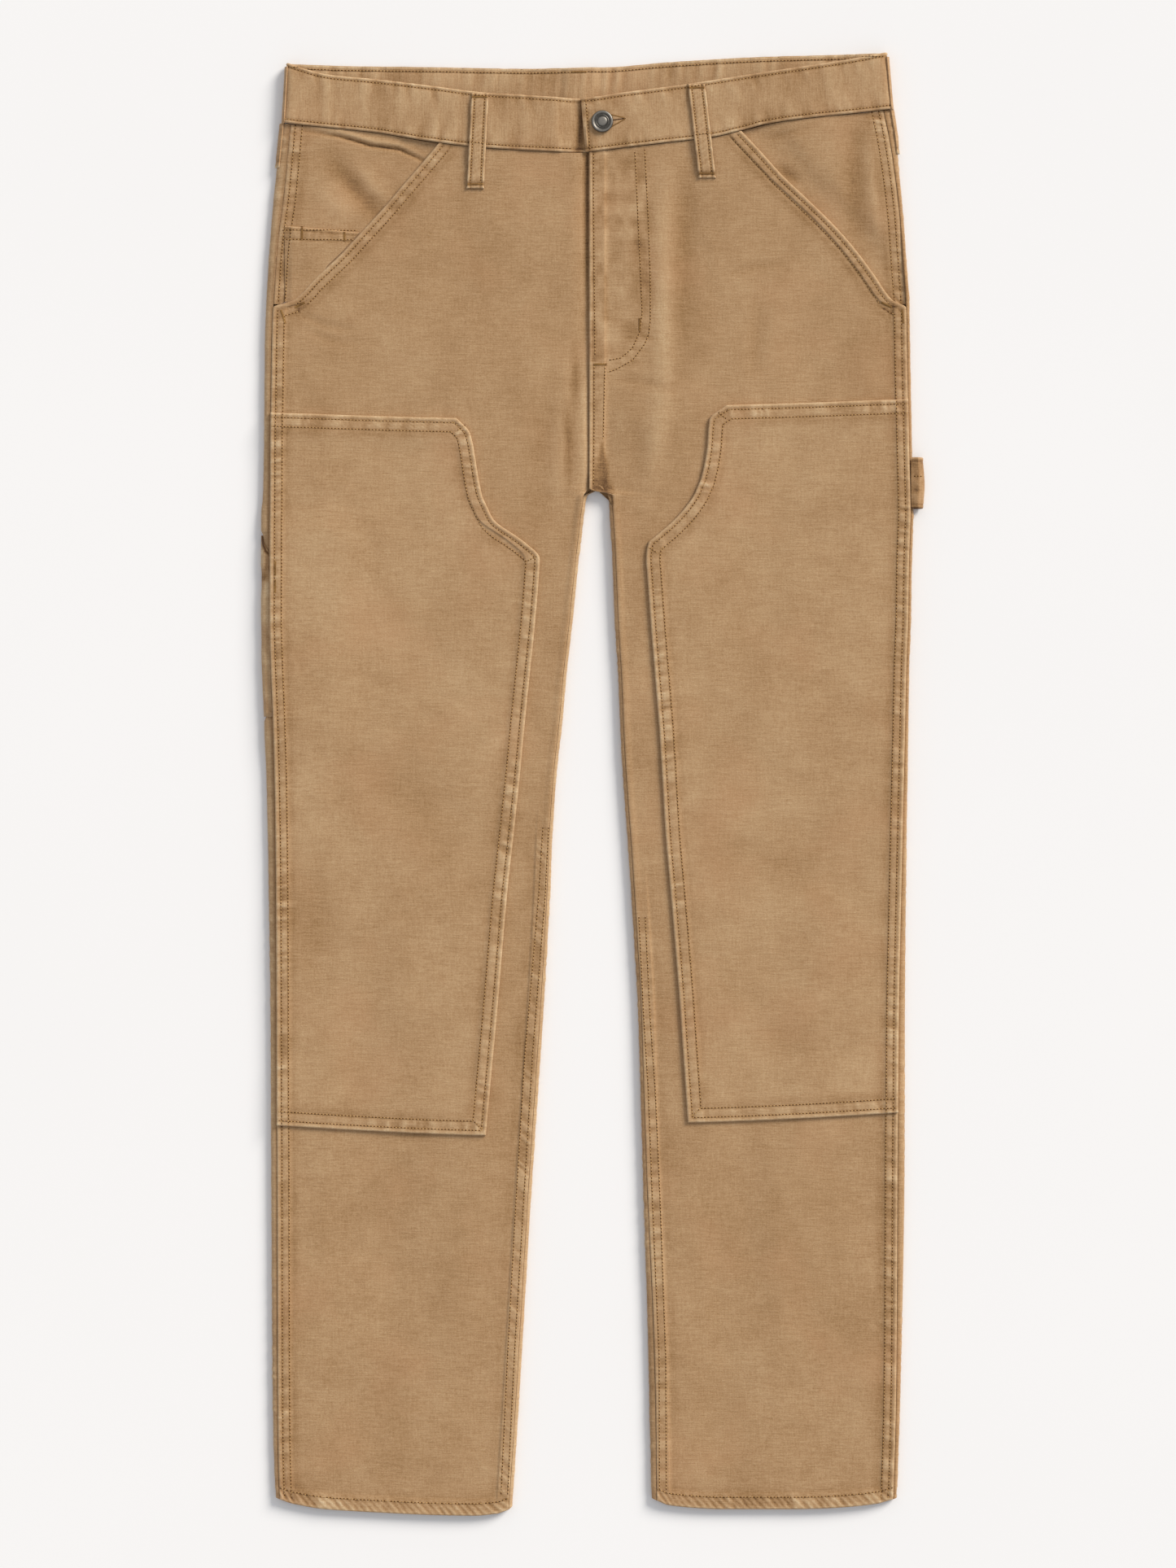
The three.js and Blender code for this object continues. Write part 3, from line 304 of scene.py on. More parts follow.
def along_border(points, link, near, toward, count):
    """That many points of a border, from the one nearest a place, first going one way."""
    row = [min(link, key=lambda k: np.linalg.norm(points[k] - near))]
    row.append(max(link[row[0]], key=lambda k: (points[k] - points[row[0]]) @ toward))
    while len(row) < count:
        row.append(next(k for k in link[row[-1]] if k != row[-2]))
    return row


wall_grids = {}


def wall_rows(node, size, near, toward, outward=(0, 0, 1)):
    """The points of a wall's outer side, that many rows and columns, from the corner nearest a
    place. Each next row is found through the triangles on the edges of the row before."""
    points, triangles, side, link = outer_side(node, outward)
    row = along_border(points, link, near, toward, size[1])
    rows = [row]
    used = set(row)
    apex = {}

    def note(chosen):
        for k in chosen:
            a, b, c = triangles[k]
            apex[a, b], apex[b, c], apex[c, a] = c, a, b

    def beyond(p, q):
        for corner in (apex.get((p, q)), apex.get((q, p))):
            if corner is not None and corner not in used:
                return corner
        return None

    note(side)
    while len(rows) < size[0]:
        inner = [beyond(p, q) for p, q in zip(row, row[1:])]
        used.update(inner)
        row = [beyond(row[0], inner[0])] + inner
        used.add(row[0])
        rows.append(row)
        note(range(len(triangles)))
    wall_grids[node] = points[np.array(rows)]
    return wall_grids[node]


def bend_between(known, values, wanted):
    """Smooth curve through values at known places, with no overshoot, read at the wanted places."""
    steps = np.diff(known)
    shape = (-1,) + (1,) * (values.ndim - 1)
    slopes = np.diff(values, axis=0) / steps.reshape(shape)
    before, after = slopes[:-1], slopes[1:]
    total = before + after
    harmonic = np.where(before * after > 0, 2 * before * after / np.where(total == 0, 1, total), 0)
    tangents = np.concatenate([slopes[:1], harmonic, slopes[-1:]])
    k = np.clip(np.searchsorted(known, wanted, side="right") - 1, 0, len(steps) - 1)
    span = steps[k].reshape(shape)
    t = ((wanted - known[k]) / steps[k]).reshape(shape)
    return ((2 * t**3 - 3 * t**2 + 1) * values[k] + (t**3 - 2 * t**2 + t) * span * tangents[k]
            + (3 * t**2 - 2 * t**3) * values[k + 1] + (t**3 - t**2) * span * tangents[k + 1])


def mean_gaps(rows):
    """Mean distance from each row of points to the next."""
    return np.linalg.norm(np.diff(rows, axis=0), axis=2).mean(axis=1)


def finer(rows, step=ROW_STEP, wide=WIDE_STEP, strip=STRIP_WIDTH):
    """Fine rows and columns through a wall's points: close in its seam strips, wide between them."""
    at = np.concatenate([[0], np.cumsum(mean_gaps(rows))])
    count = max(int(at[-1] / step), 2)
    margin = min(1.4, at[-1] / 6)
    ends = np.array([0, 0.2, 0.57]) * margin
    wanted = np.concatenate([ends, np.linspace(margin, at[-1] - margin, count), at[-1] - ends[::-1]])
    across = bend_between(at, rows, wanted).transpose(1, 0, 2)
    widths = mean_gaps(across)
    places = np.concatenate([[0], np.cumsum(widths)])
    cuts = []
    for k, width in enumerate(widths):
        if strip and 5 < width < strip:
            shares = STRIP_CUTS if k < len(widths) / 2 else [0] + [1 - s for s in STRIP_CUTS[:0:-1]]
        else:
            shares = np.arange(0, 1 - 1e-9, 1 / max(math.ceil(width / wide), 2))
        cuts += [places[k] + share * width for share in shares]
    return bend_between(places, across, np.array(cuts + [places[-1]])).transpose(1, 0, 2)


def edges_of(rows):
    """Distance of each point from the first and last row and column of its grid, along the cloth."""
    distances = []
    for axis in (0, 1):
        steps = np.linalg.norm(np.diff(rows, axis=axis), axis=2)
        run = np.insert(np.cumsum(steps, axis=axis), 0, 0, axis=axis)
        distances += [run, np.take(run, [-1], axis=axis) - run]
    return distances


def even_line(points):
    """The same line seen from above, its points an even small step apart."""
    points = np.asarray(points, float)[:, :2]
    at = np.concatenate([[0], np.cumsum(np.linalg.norm(np.diff(points, axis=0), axis=1))])
    wanted = np.arange(0, at[-1], FINE_STEP)
    return np.stack([np.interp(wanted, at, points[:, axis]) for axis in (0, 1)], axis=1)


def beside(x, y, line):
    """How far each point is from an even line, and how far along it the nearest place is."""
    away, along = np.empty(x.shape), np.empty(x.shape)
    for k, row in enumerate(np.stack([x, y], axis=2)):
        gaps = np.hypot(row[:, :1] - line[:, 0], row[:, 1:] - line[:, 1])
        away[k], along[k] = gaps.min(axis=1), gaps.argmin(axis=1) * FINE_STEP
    return away, along


def moved_line(line, distance, way):
    """The even line moved sideways, without the loops that its corners would make."""
    steps = np.gradient(line, axis=0)
    steps /= np.linalg.norm(steps, axis=1)[:, None]
    moved = line + np.stack([-steps[:, 1], steps[:, 0]], axis=1) * distance * way
    gaps = np.hypot(moved[:, :1] - line[:, 0], moved[:, 1:] - line[:, 1]).min(axis=1)
    return moved[gaps > distance - 0.25]


def puckers(distance, along, width, seed, length=2.7, skew=0.25):
    """Cross wrinkles in a felled seam of that width: hollow at its two rows, high between them."""
    between = np.sin(np.clip(distance / width, 0, 1) * math.pi) ** 0.6
    beyond = np.exp(-np.clip(distance - width, 0, None) / 3.5) * (distance > width)
    phase = along / length + 1.6 * wander(along / 34, seed + 5)
    wave = wander(phase + skew * distance / length, seed)
    wave += 0.4 * wander(1.9 * phase - 0.5 * distance / length, seed + 1)
    uneven = 0.75 + 0.45 * wander(along / 41, seed + 6)
    return np.maximum(wave, -0.6) * uneven * (between + 0.3 * beyond)


def crease(x, y, line, width, depth):
    """A soft hollow along a line of points, of that half width, deepest in its middle."""
    best = np.full(x.shape, 1e9)
    share_at = np.zeros(x.shape)
    lengths = [math.dist(a, b) for a, b in zip(line, line[1:])]
    total, run = sum(lengths), 0
    for (ax, ay), (bx, by), length in zip(line, line[1:], lengths):
        dx, dy = (bx - ax) / length, (by - ay) / length
        t = np.clip((x - ax) * dx + (y - ay) * dy, 0, length)
        d = np.hypot(x - ax - t * dx, y - ay - t * dy)
        nearer = d < best
        best = np.where(nearer, d, best)
        share_at = np.where(nearer, (run + t) / total, share_at)
        run += length
    return -depth * bell(best, width) * np.sin(math.pi * np.clip(share_at, 0.03, 0.97)) ** 0.7


def creases(x, y, table):
    """All the hollows and ridges of a table, each a line with its half width and depth."""
    return sum(crease(x, y, *one) for one in table)


def slack(x, y, seed):
    """The slight unevenness of cloth that lies loose."""
    wide = wander_over(x / 46 + 90, y / 60 + 90, seed)
    small = wander_over(x / 13 + 90, y / 11 + 90, seed + 1)
    return 0.3 * wide + 0.08 * small


def turned(near):
    """How far a small round fold drops, up to 0.8, where that near its edge."""
    return 1 - np.sqrt(1 - 0.96 * near ** 2)


def near_edge(distance, width):
    """1 on an edge, and 0 from that width inwards."""
    return np.clip(1 - distance / width, 0, 1)


def round_edges(rows, sides):
    """Turns the chosen sides down in a small round fold, and returns how near each point is to one.
    The sides are counted as edges_of gives them."""
    edges = edges_of(rows)
    near = near_edge(np.min([edges[side] for side in sides], axis=0), EDGE_ROUND)
    rows[..., 2] -= EDGE_DROP * turned(near)
    return near


def normals_of(rows, up=1):
    """Outward unit normals of a grid whose first corner looks up, or down with up as -1."""
    made = np.cross(np.gradient(rows, axis=0), np.gradient(rows, axis=1))
    made /= np.maximum(np.linalg.norm(made, axis=2), 1e-9)[..., None]
    return made * np.sign(made[:3, :2, 2].mean() * up)


landing = []


def stand_for(piece, node):
    """Puts a piece of cloth in the frame in the place of its solid."""
    smooth(piece)
    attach(piece, "root")
    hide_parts(node)


def sew_up(node, rows, thickness, wear_and_painted_light, up=1, coarse=(8, 4), under_shade=-0.3, inward=False,
           material=duck):
    """Makes a solid's cloth piece from its outer side: that side, its edges and a plain inner side."""
    total_rows, total_columns = rows.shape[:2]
    keep_rows = sorted({*range(0, total_rows, coarse[0]), total_rows - 1})
    keep_columns = sorted({*range(0, total_columns, coarse[1]), total_columns - 1})
    outward = normals_of(rows, up)
    depth = np.broadcast_to(np.asarray(thickness, float), rows.shape[:2])
    fall = outward if inward else np.array([0, 0, 1.0])
    inner_side = rows - fall * depth[..., None]
    inner_side[..., 2] = np.maximum(inner_side[..., 2], 0)
    vertices = [tuple(p) for p in rows.reshape(-1, 3) * MM]
    shades = list(wear_and_painted_light.ravel())
    under_shade = np.broadcast_to(under_shade, rows.shape[:2])
    under = {}

    def under_at(i, j):
        if (i, j) not in under:
            under[i, j] = len(vertices)
            vertices.append(tuple(inner_side[i, j] * MM))
            shades.append(under_shade[i, j])
        return under[i, j]

    def top_at(i, j):
        return i * total_columns + j

    def close(a, b):
        faces.append((top_at(*a), top_at(*b), under_at(*b), under_at(*a)))

    faces = []
    last_row, last_column = total_rows - 1, total_columns - 1
    for i in range(last_row):
        for j in range(last_column):
            faces.append((top_at(i, j), top_at(i + 1, j), top_at(i + 1, j + 1), top_at(i, j + 1)))
    for j in range(last_column):
        close((0, j), (0, j + 1))
        close((last_row, j + 1), (last_row, j))
    for i in range(last_row):
        close((i + 1, 0), (i, 0))
        close((i, last_column), (i + 1, last_column))
    for i0, i1 in zip(keep_rows, keep_rows[1:]):
        for j0, j1 in zip(keep_columns, keep_columns[1:]):
            ring = [under_at(i0, j) for j in (range(j0, j1) if i0 == 0 else (j0,))]
            ring += [under_at(i, j1) for i in (range(i0, i1) if j1 == last_column else (i0,))]
            ring += [under_at(i1, j) for j in (range(j1, j0, -1) if i1 == last_row else (j1,))]
            ring += [under_at(i, j0) for i in (range(i1, i0, -1) if j0 == 0 else (i1,))]
            faces.append(tuple(ring))
    made = np.cross(rows[1, 0] - rows[0, 0], rows[0, 1] - rows[0, 0])
    if made @ outward[0, 0] < 0:
        faces = [face[::-1] for face in faces]
    mesh = bpy.data.meshes.new(f"{node}_cloth")
    mesh.from_pydata(vertices, [], faces)
    mesh.attributes.new("wear_and_painted_light", "FLOAT", "POINT").data.foreach_set("value", np.array(shades, float))
    mesh.materials.append(material)
    piece = placed(mesh.name, mesh)
    stand_for(piece, node)
    landing.append(BVHTree.FromPolygons(vertices, faces))
    return piece


def smooth(piece, angle=50):
    """Shades a piece smooth, apart from its sharp edges."""
    bpy.context.view_layer.objects.active = piece
    piece.select_set(True)
    bpy.ops.object.shade_smooth_by_angle(angle=math.radians(angle))
    piece.select_set(False)


def dent(distance, *stitch_rows, depth=0.26, width=0.8):
    """The hollows that rows of stitches, that far from an edge, pull into the cloth."""
    return -depth * sum(bell(distance - row, width) for row in stitch_rows)


def rolled(distance, width=3.0):
    """The roll of a turned edge, from the edge to its first row of stitches."""
    return np.clip(1 - np.abs(2 * distance / width - 1) ** 3, 0, 1)


def shaded(distance, along, seed):
    """A darker band beside a thick seam: partly the wash's uneven dye, partly painted shade from the seam's
    raised edge.
    """
    return bell(distance - 2.5, 3.2) * (0.65 + 0.35 * wander(along / 17, seed))


SIDES = {"right": 1, "left": -1}
TOP_SIDE, HEM_SIDE, SEAM_SIDE, INNER_SIDE = range(4)
SEAM_DRAW = 0.42
# How much lighter the pucker ridges are, from wear and a painted highlight, and how much darker their hollows
# are, from painted shade; and how much darker the stitch dents are, from painted shade.
PUCKER_WEAR_AND_SHADE = 1.15
DENT_SHADE = 1.1
SEAM_STRIP = 10.4
SEAM_ROWS = (3.9, 9.2)
HEM_STRIP = 11
HEM_ROW = 9.3
HEM_RIB = 5.8
PANEL_GRID = (43, 14)
CROTCH_Y = 222.8
MOUTH_TOPS = {"right": (-118.4, 492.3, 7), "left": (114.1, 501.6, 7)}
PANEL_CREASES = {
    "right": [
        ([(-10, 345), (-15, 300), (-18, 270), (-19, 222)], 3.4, 0.8),
        ([(-20, 330), (-24, 280), (-28, 215)], 7, -0.5),
        ([(-30, 330), (-36, 260), (-44, 200)], 10, 0.45),
        ([(-60, 462), (-90, 455), (-120, 440)], 9, 0.35),
        ([(-228, 362), (-205, 352), (-180, 349)], 3, 0.4),
        ([(-226, 352), (-200, 340), (-170, 339)], 4, 0.35),
        ([(-120, -262), (-135, -268), (-160, -272)], 6, 0.4),
    ],
    "left": [
        ([(56, 480), (54, 430), (54, 300), (46, 250), (40, 215)], 6.5, -1.0),
        ([(72, 485), (71, 430), (70, 370), (66, 320)], 9, 0.9),
        ([(14, 312), (40, 308), (66, 300)], 4, 0.35),
        ([(30, 290), (34, 260), (32, 230)], 8, 0.4),
        ([(148, 400), (128, 398), (104, 392)], 4, 0.35),
        ([(128, 378), (126, 340), (122, 310)], 7, 0.5),
    ],
}
FLY_EDGE = -3.2
FLY_ROW = 3.6
FLY_CURVES = [
    [(32.2, 485.3), (34.1, 445.9), (35.9, 406.6), (37.8, 361.6), (35.9, 347.2), (30.3, 334.7), (21.6, 327.2),
     (11.6, 325.3)],
    [(39.7, 487.3), (42.2, 439.7), (44.1, 388.4), (44.1, 355.9), (42.8, 345.3), (39.7, 337.8), (30.3, 325.3),
     (17.8, 318.4), (10.9, 315.9)],
]
FLY_BAND = [(36, 490), (38.2, 440), (40, 397), (41, 358), (38, 342), (27, 326), (11, 320)]
SEAM_IN_SIGHT = {"right": 5, "left": 55}
for side, inward in SIDES.items():
    coarse = wall_rows(f"front_panel_{side}", PANEL_GRID, MOUTH_TOPS[side], (inward, 0, 0))
    rows = finer(coarse, step=1.85, wide=2.6)
    x, y = rows[..., 0], rows[..., 1]
    down, hem, _, inner_seam = edges_of(rows)
    outer_seam, along = beside(x, y, even_line(rows[:, 0]))
    below_crotch = fade(-y, -CROTCH_Y, 12 - CROTCH_Y)
    inseam = below_crotch * fade(-y, SEAM_IN_SIGHT[side], SEAM_IN_SIGHT[side] + 60)
    level = [np.interp(20, away[::-1], height[::-1]) for away, height in zip(inner_seam, rows[..., 2])]
    plain = fade(-y, -CROTCH_Y - 9, -CROTCH_Y) - inseam
    plain *= fade(inner_seam, 2, 6) * fade(-inner_seam, -20, -16)
    rows[..., 2] += (np.array(level)[:, None] - rows[..., 2]) * plain
    by_seam = puckers(outer_seam, along, SEAM_STRIP, 21 + inward) * (1 - 0.3 * fade(y, 360, 375))
    by_inseam = puckers(inner_seam, down, SEAM_STRIP, 31 + inward) * inseam
    gathers = (SEAM_DRAW * by_seam + 0.4 * by_inseam) * fade(hem, HEM_STRIP, HEM_STRIP + 4)
    gathers += 0.45 * puckers(hem, x, HEM_STRIP, 41 + inward, length=2.9, skew=0.5)
    ribs = np.sin(2 * np.pi * (x + 0.9 * hem) / HEM_RIB + 2 * wander(x / 14, 43 + inward))
    gathers += 0.3 * ribs * fade(hem, -1, 2) * fade(-hem, -HEM_STRIP - 1, -HEM_STRIP + 3)
    dents = dent(outer_seam, *SEAM_ROWS) + dent(hem, HEM_ROW)
    troughs = creases(x, y, PANEL_CREASES[side])
    fly_wear_and_shade = np.zeros(x.shape)
    if side == "right":
        in_gap = bell(x - FLY_EDGE + 1.5, 1.8) * fade(y, 322, 450)
        lifted = fade(-x, 3.2, 4.4) * fade(-y, -360, -290) * fade(y, CROTCH_Y - 8, CROTCH_Y + 30)
        troughs += 1.2 * bell(x - FLY_EDGE, 6) * lifted - 0.6 * in_gap
        # Painted shadow: darker along the crease down from the fly and in the gap beside the lap's edge.
        fly_wear_and_shade += crease(x, y, PANEL_CREASES[side][0][0], 2.4, 0.32) - 0.7 * in_gap
    else:
        edge = inner_seam * (1 - below_crotch) + 50 * below_crotch
        crotch_shade = fade(x - 0.22 * y, -53.2, -49.6) * fade(-x - 0.17 * y, -54, -51) * fade(-y, -268, -258)
        crotch_shade *= fade(y, CROTCH_Y - 10, CROTCH_Y - 7) * (x < 16)
        dents += sum(crease(x, y, line, 0.9, 0.34) for line in FLY_CURVES) + dent(edge, FLY_ROW)
        band = crease(x, y, FLY_BAND, 6, -1)
        worn = fade(edge, 46, 40) * fade(y, 318, 326)
        cloudy = worn * wander_over(x / 5 + 70, y / 9 + 70, 43)
        gathers += 0.3 * puckers(edge, down, 9, 45) + 0.12 * cloudy
        gathers += 0.3 * band * wander_over(x / 6 + 40, y / 3.4 + 40, 47)
        # The fly's rolled edge lighter, partly wear and partly painted highlight, with random mottling.
        fly_wear_and_shade += 0.22 * rolled(edge, 2.4) + 0.16 * cloudy - 0.04 * worn
        # Painted shade in the crotch valley between the legs.
        fly_wear_and_shade -= (0.32 + 0.3 * fade(x, 2, 8) + 0.25 * fade(-y, -240, -225)) * crotch_shade
        troughs += 0.25 * rolled(edge)
    round_edges(rows, (HEM_SIDE, SEAM_SIDE, INNER_SIDE))
    relief = slack(x, y, 11 + inward) * fade(hem, 4, 30)
    rows[..., 2] += relief + gathers + troughs + dents + 0.25 * (rolled(outer_seam) + rolled(hem))
    knot = bell(np.abs(x) - 227, 7) * bell(y - 366, 6)
    # Painted shade in the creases and hollows with painted highlight on their ridges, and the same on the
    # seam puckers and in the stitch dents; rolled edges lighter, partly wear and partly painted highlight; a
    # darker band beside each thick seam, partly dye and partly painted shade; mottling at the knot.
    wear_and_painted_light = PUCKER_WEAR_AND_SHADE * gathers + 0.35 * troughs + DENT_SHADE * dents + fly_wear_and_shade
    wear_and_painted_light += 0.28 * rolled(outer_seam, 2) * (1 - knot) + 0.25 * rolled(hem, 2)
    wear_and_painted_light += knot * (0.6 * wander_over(x / 2.6 + 99, y / 2.2, 44) - 0.3)
    wear_and_painted_light -= 0.3 * shaded(outer_seam - SEAM_STRIP, along, 48) + 0.22 * shaded(hem - HEM_STRIP, x, 49)
    wear_and_painted_light += inseam * (0.2 * rolled(inner_seam, 2.6) - 0.14 * shaded(inner_seam - 12, down, 50))
    piece = sew_up(f"front_panel_{side}", rows, PANEL_CLOTH, wear_and_painted_light)

# Knee patches
# A second layer of the same duck from thigh to shin. Its top, inner edge and bottom are turned
# under and stitched down twice, and its outer edge is caught in the side seam.
PATCH_GRID = (24, 10)
PATCH_BAND = 11.3
PATCH_ROWS = (3.75, 10.8)
PATCH_TOPS = {"right": (-247.8, 285.3, 9), "left": (242.3, 295.6, 9)}
PATCH_CREASES = {
    "right": [([(-200, 30), (-140, -10), (-90, -40)], 22, 0.4), ([(-215, -60), (-208, -170)], 16, 0.35)],
    "left": [([(60, -30), (130, -60), (200, -75)], 22, 0.4), ([(120, -190), (190, -205)], 14, 0.3)],
}


def patch_border(rows):
    """The patch's turned edges as one line: its top, its inner edge and its bottom."""
    return even_line(np.concatenate([rows[0], rows[1:, -1], rows[-1, ::-1][1:]]))


for side, inward in SIDES.items():
    coarse = wall_rows(f"knee_patch_{side}", PATCH_GRID, PATCH_TOPS[side], (inward, 0, 0))
    rows = finer(coarse, wide=3)
    x, y = rows[..., 0], rows[..., 1]
    top_edge, foot_edge, outer_seam, _ = edges_of(rows)
    band, along = beside(x, y, patch_border(rows))
    by_seam = puckers(outer_seam, top_edge, SEAM_STRIP, 51 + inward)
    gathers = SEAM_DRAW * by_seam * fade(np.minimum(top_edge, foot_edge), 0, 14)
    gathers += 0.4 * puckers(band, along, PATCH_BAND, 61 + inward)
    dents = dent(outer_seam, *SEAM_ROWS) + dent(band, *PATCH_ROWS)
    troughs = creases(x, y, PATCH_CREASES[side])
    round_edges(rows, (TOP_SIDE, HEM_SIDE, SEAM_SIDE, INNER_SIDE))
    relief = slack(x, y, 11 + inward) + 0.25 * rolled(outer_seam) + 0.3 * rolled(band)
    rows[..., 2] += relief + gathers + troughs + dents
    # Painted shade in the creases, stitch dents and pucker hollows, with painted highlight on ridges; pucker
    # ridges and rolled edges lighter, partly wear; darker bands beside the seams, partly dye and partly
    # painted shade.
    wear_and_painted_light = 0.08 + PUCKER_WEAR_AND_SHADE * gathers + 0.4 * troughs + DENT_SHADE * dents
    wear_and_painted_light += 0.28 * rolled(outer_seam, 2) + 0.3 * rolled(band, 2)
    wear_and_painted_light -= 0.3 * shaded(outer_seam - SEAM_STRIP, top_edge, 88)
    wear_and_painted_light -= 0.25 * shaded(band - PATCH_BAND, along, 89)
    piece = sew_up(f"knee_patch_{side}", rows, PANEL_CLOTH, wear_and_painted_light)

# Back panels
# The back of each leg is one plain piece of the duck, flat on the table. It comes round both
# sides of the leg, where the front panel's turned edge lies on it.
BACK_GRIDS = {"right": (43, 14), "left": (43, 13)}
BACK_TOPS = {"right": (-233, 507.5, 6.1), "left": (224.5, 518.1, 6.1)}
for side, inward in SIDES.items():
    coarse = wall_rows(f"back_panel_{side}", BACK_GRIDS[side], BACK_TOPS[side], (-inward, 0, 0), (0, 0, -1))
    rows = finer(coarse, wide=9, strip=0)
    x, y = rows[..., 0], rows[..., 1]
    down, hem, across, inner = edges_of(rows)
    lying = fade(rows[..., 2], 1.0, 0.1)
    gathers = 0.3 * puckers(across, down, 9, 91 + inward) + 0.3 * puckers(inner, down, 9, 95 + inward)
    gathers += 0.25 * puckers(hem, x, HEM_STRIP, 97 + inward, length=3.2, skew=0.5)
    hollow = 0.35 * (wander_over(x / 50 + 60, y / 70 + 60, 99 + inward) + 1) * lying
    relief = gathers * (1 - lying) - np.abs(gathers) * lying - hollow * fade(hem, 0, 20)
    rows += normals_of(rows) * relief[..., None]
    # Painted shade along the seam edge and a little where the cloth lies flat, the pucker ridges lighter and
    # hollows darker, and the right leg's side wrap painted lighter against its shade on the slope away from
    # the light.
    wear_and_painted_light = 0.8 * gathers - 0.5 * bell(across, 1.2) - 0.1 * lying
    wear_and_painted_light += 0.25 * (1 - lying) * (side == "right")
    piece = sew_up(f"back_panel_{side}", rows, PANEL_CLOTH, wear_and_painted_light,
                   coarse=(8, 2), inward=True)

# Hip pocket facings
# The cloth seen inside each slanted pocket mouth is a piece of its own, caught in the waist
# and side seams, and it runs in under the front panel.
FACING_GRID = (9, 10)
FACING_TOPS = {"right": (-232.5, 506.9, 6.1), "left": (224.2, 517.4, 6.1)}
FACING_CREASES = {
    "right": [
        ([(-221, 501.7), (-193.7, 497.3), (-169.3, 490.1), (-149.2, 488), (-129.2, 478.7), (-114, 469)],
         1.2, 1.9),
        ([(-219, 505), (-193, 500.6), (-169, 493.4), (-149, 491), (-130, 482)], 2.2, -0.8),
        ([(-203, 484), (-190, 466), (-177, 451), (-158, 430)], 7.5, 1.25),
        ([(-182, 476), (-168, 458), (-152, 445)], 7, -0.6),
        ([(-212, 460), (-198, 446), (-182, 433)], 9, -0.5),
    ],
    "left": [
        ([(204, 514), (200, 480), (201, 450), (208, 412)], 9, 1.0),
        ([(213, 500), (214, 460), (218, 420)], 5, -0.5),
        ([(140, 477), (150, 468), (160, 462)], 4, 0.9),
        ([(170, 505), (150, 500), (130, 494)], 3, 0.5),
    ],
}
for side, inward in SIDES.items():
    coarse = wall_rows(f"hip_pocket_facing_{side}", FACING_GRID, FACING_TOPS[side], (inward, 0, 0))
    rows = finer(coarse, wide=2, strip=0)
    x, y = rows[..., 0], rows[..., 1]
    down, _, outer_seam, _ = edges_of(rows)
    gathers = 0.46 * puckers(outer_seam, down, SEAM_STRIP, 101 + inward)
    dents = dent(outer_seam, *SEAM_ROWS)
    troughs = creases(x, y, FACING_CREASES[side])
    round_edges(rows, (SEAM_SIDE,))
    rows[..., 2] += slack(x, y, 105 + inward) + gathers + troughs + dents
    # Painted shade in the creases, stitch dents and pucker hollows, with painted highlight on ridges; pucker
    # ridges and the rolled seam edge lighter, partly wear; a darker band beside the seam, partly dye and
    # partly painted shade.
    wear_and_painted_light = 1.1 * gathers + 0.4 * troughs + 0.34 * rolled(outer_seam, 2) + DENT_SHADE * dents
    wear_and_painted_light -= 0.3 * shaded(outer_seam - SEAM_STRIP, down, 107)
    piece = sew_up(f"hip_pocket_facing_{side}", rows, PANEL_CLOTH, wear_and_painted_light)

# Coin pocket
# A small patch of thinner duck on the right facing. Its top is turned and stitched twice.
COIN_ROWS = (2.5, 9.5)
THIN_CLOTH = 1.2
rows = finer(wall_rows("coin_pocket", (7, 8), (-236.5, 428, 8), (1, 0, 0)), step=1.2, wide=1.6, strip=0)
x, y = rows[..., 0], rows[..., 1]
top_edge = edges_of(rows)[TOP_SIDE]
gathers = 0.34 * puckers(top_edge, x, 9, 111)
troughs = crease(x, y, [(-186, 420), (-180, 405)], 5, 0.7)
dents = dent(top_edge, *COIN_ROWS)
fold = round_edges(rows, (TOP_SIDE,))
side_edge = edges_of(rows)[SEAM_SIDE]
rows[..., 1] -= 9 * fade(top_edge, 34, 50)
rows[..., 2] += slack(x, y, 112) + gathers + troughs + dents - 0.9 * fade(side_edge, 6, 0)
# Painted shade in the crease, stitch dents and pucker hollows; pucker ridges and the turned top lighter,
# partly wear and partly painted highlight.
wear_and_painted_light = 0.9 * gathers + 0.5 * troughs + 0.2 * fold + 1.5 * dents
piece = sew_up("coin_pocket", rows, THIN_CLOTH, wear_and_painted_light)

# Tool pocket
# A plain pocket of duck on the back of the right leg. Its front edge is caught in the side
# seam, so that it comes round the side, and its slanted mouth stands a little open.
def merged_copy(node, cuts):
    """A copy of a solid with its corners merged and its faces cut up, its points and their normals."""
    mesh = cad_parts[node].data.copy()
    mesh.name = f"{node}_cloth"
    mesh.materials.clear()
    mesh.materials.append(duck)
    piece = placed(mesh.name, mesh)
    bpy.context.view_layer.objects.active = piece
    piece.select_set(True)
    bpy.ops.object.mode_set(mode="EDIT")
    bpy.ops.mesh.select_all(action="SELECT")
    bpy.ops.mesh.remove_doubles(threshold=0.01 * MM)
    bpy.ops.mesh.tris_convert_to_quads(face_threshold=math.radians(30),
                                       shape_threshold=math.radians(60))
    bpy.ops.mesh.subdivide(number_cuts=cuts)
    bpy.ops.object.mode_set(mode="OBJECT")
    piece.select_set(False)
    places = np.array([v.co for v in mesh.vertices]) / MM
    return piece, places, np.array([v.normal for v in mesh.vertices])


def lay_copy(piece, node, places, shades):
    """Moves a copy's points to new places, shades it, and puts it in the frame for its solid."""
    mesh = piece.data
    mesh.vertices.foreach_set("co", (places * MM).ravel())
    mesh.attributes.new("wear_and_painted_light", "FLOAT", "POINT").data.foreach_set("value", shades)
    stand_for(piece, node)
    landing.append(BVHTree.FromPolygons([v.co for v in mesh.vertices],
                                        [list(f.vertices) for f in mesh.polygons]))


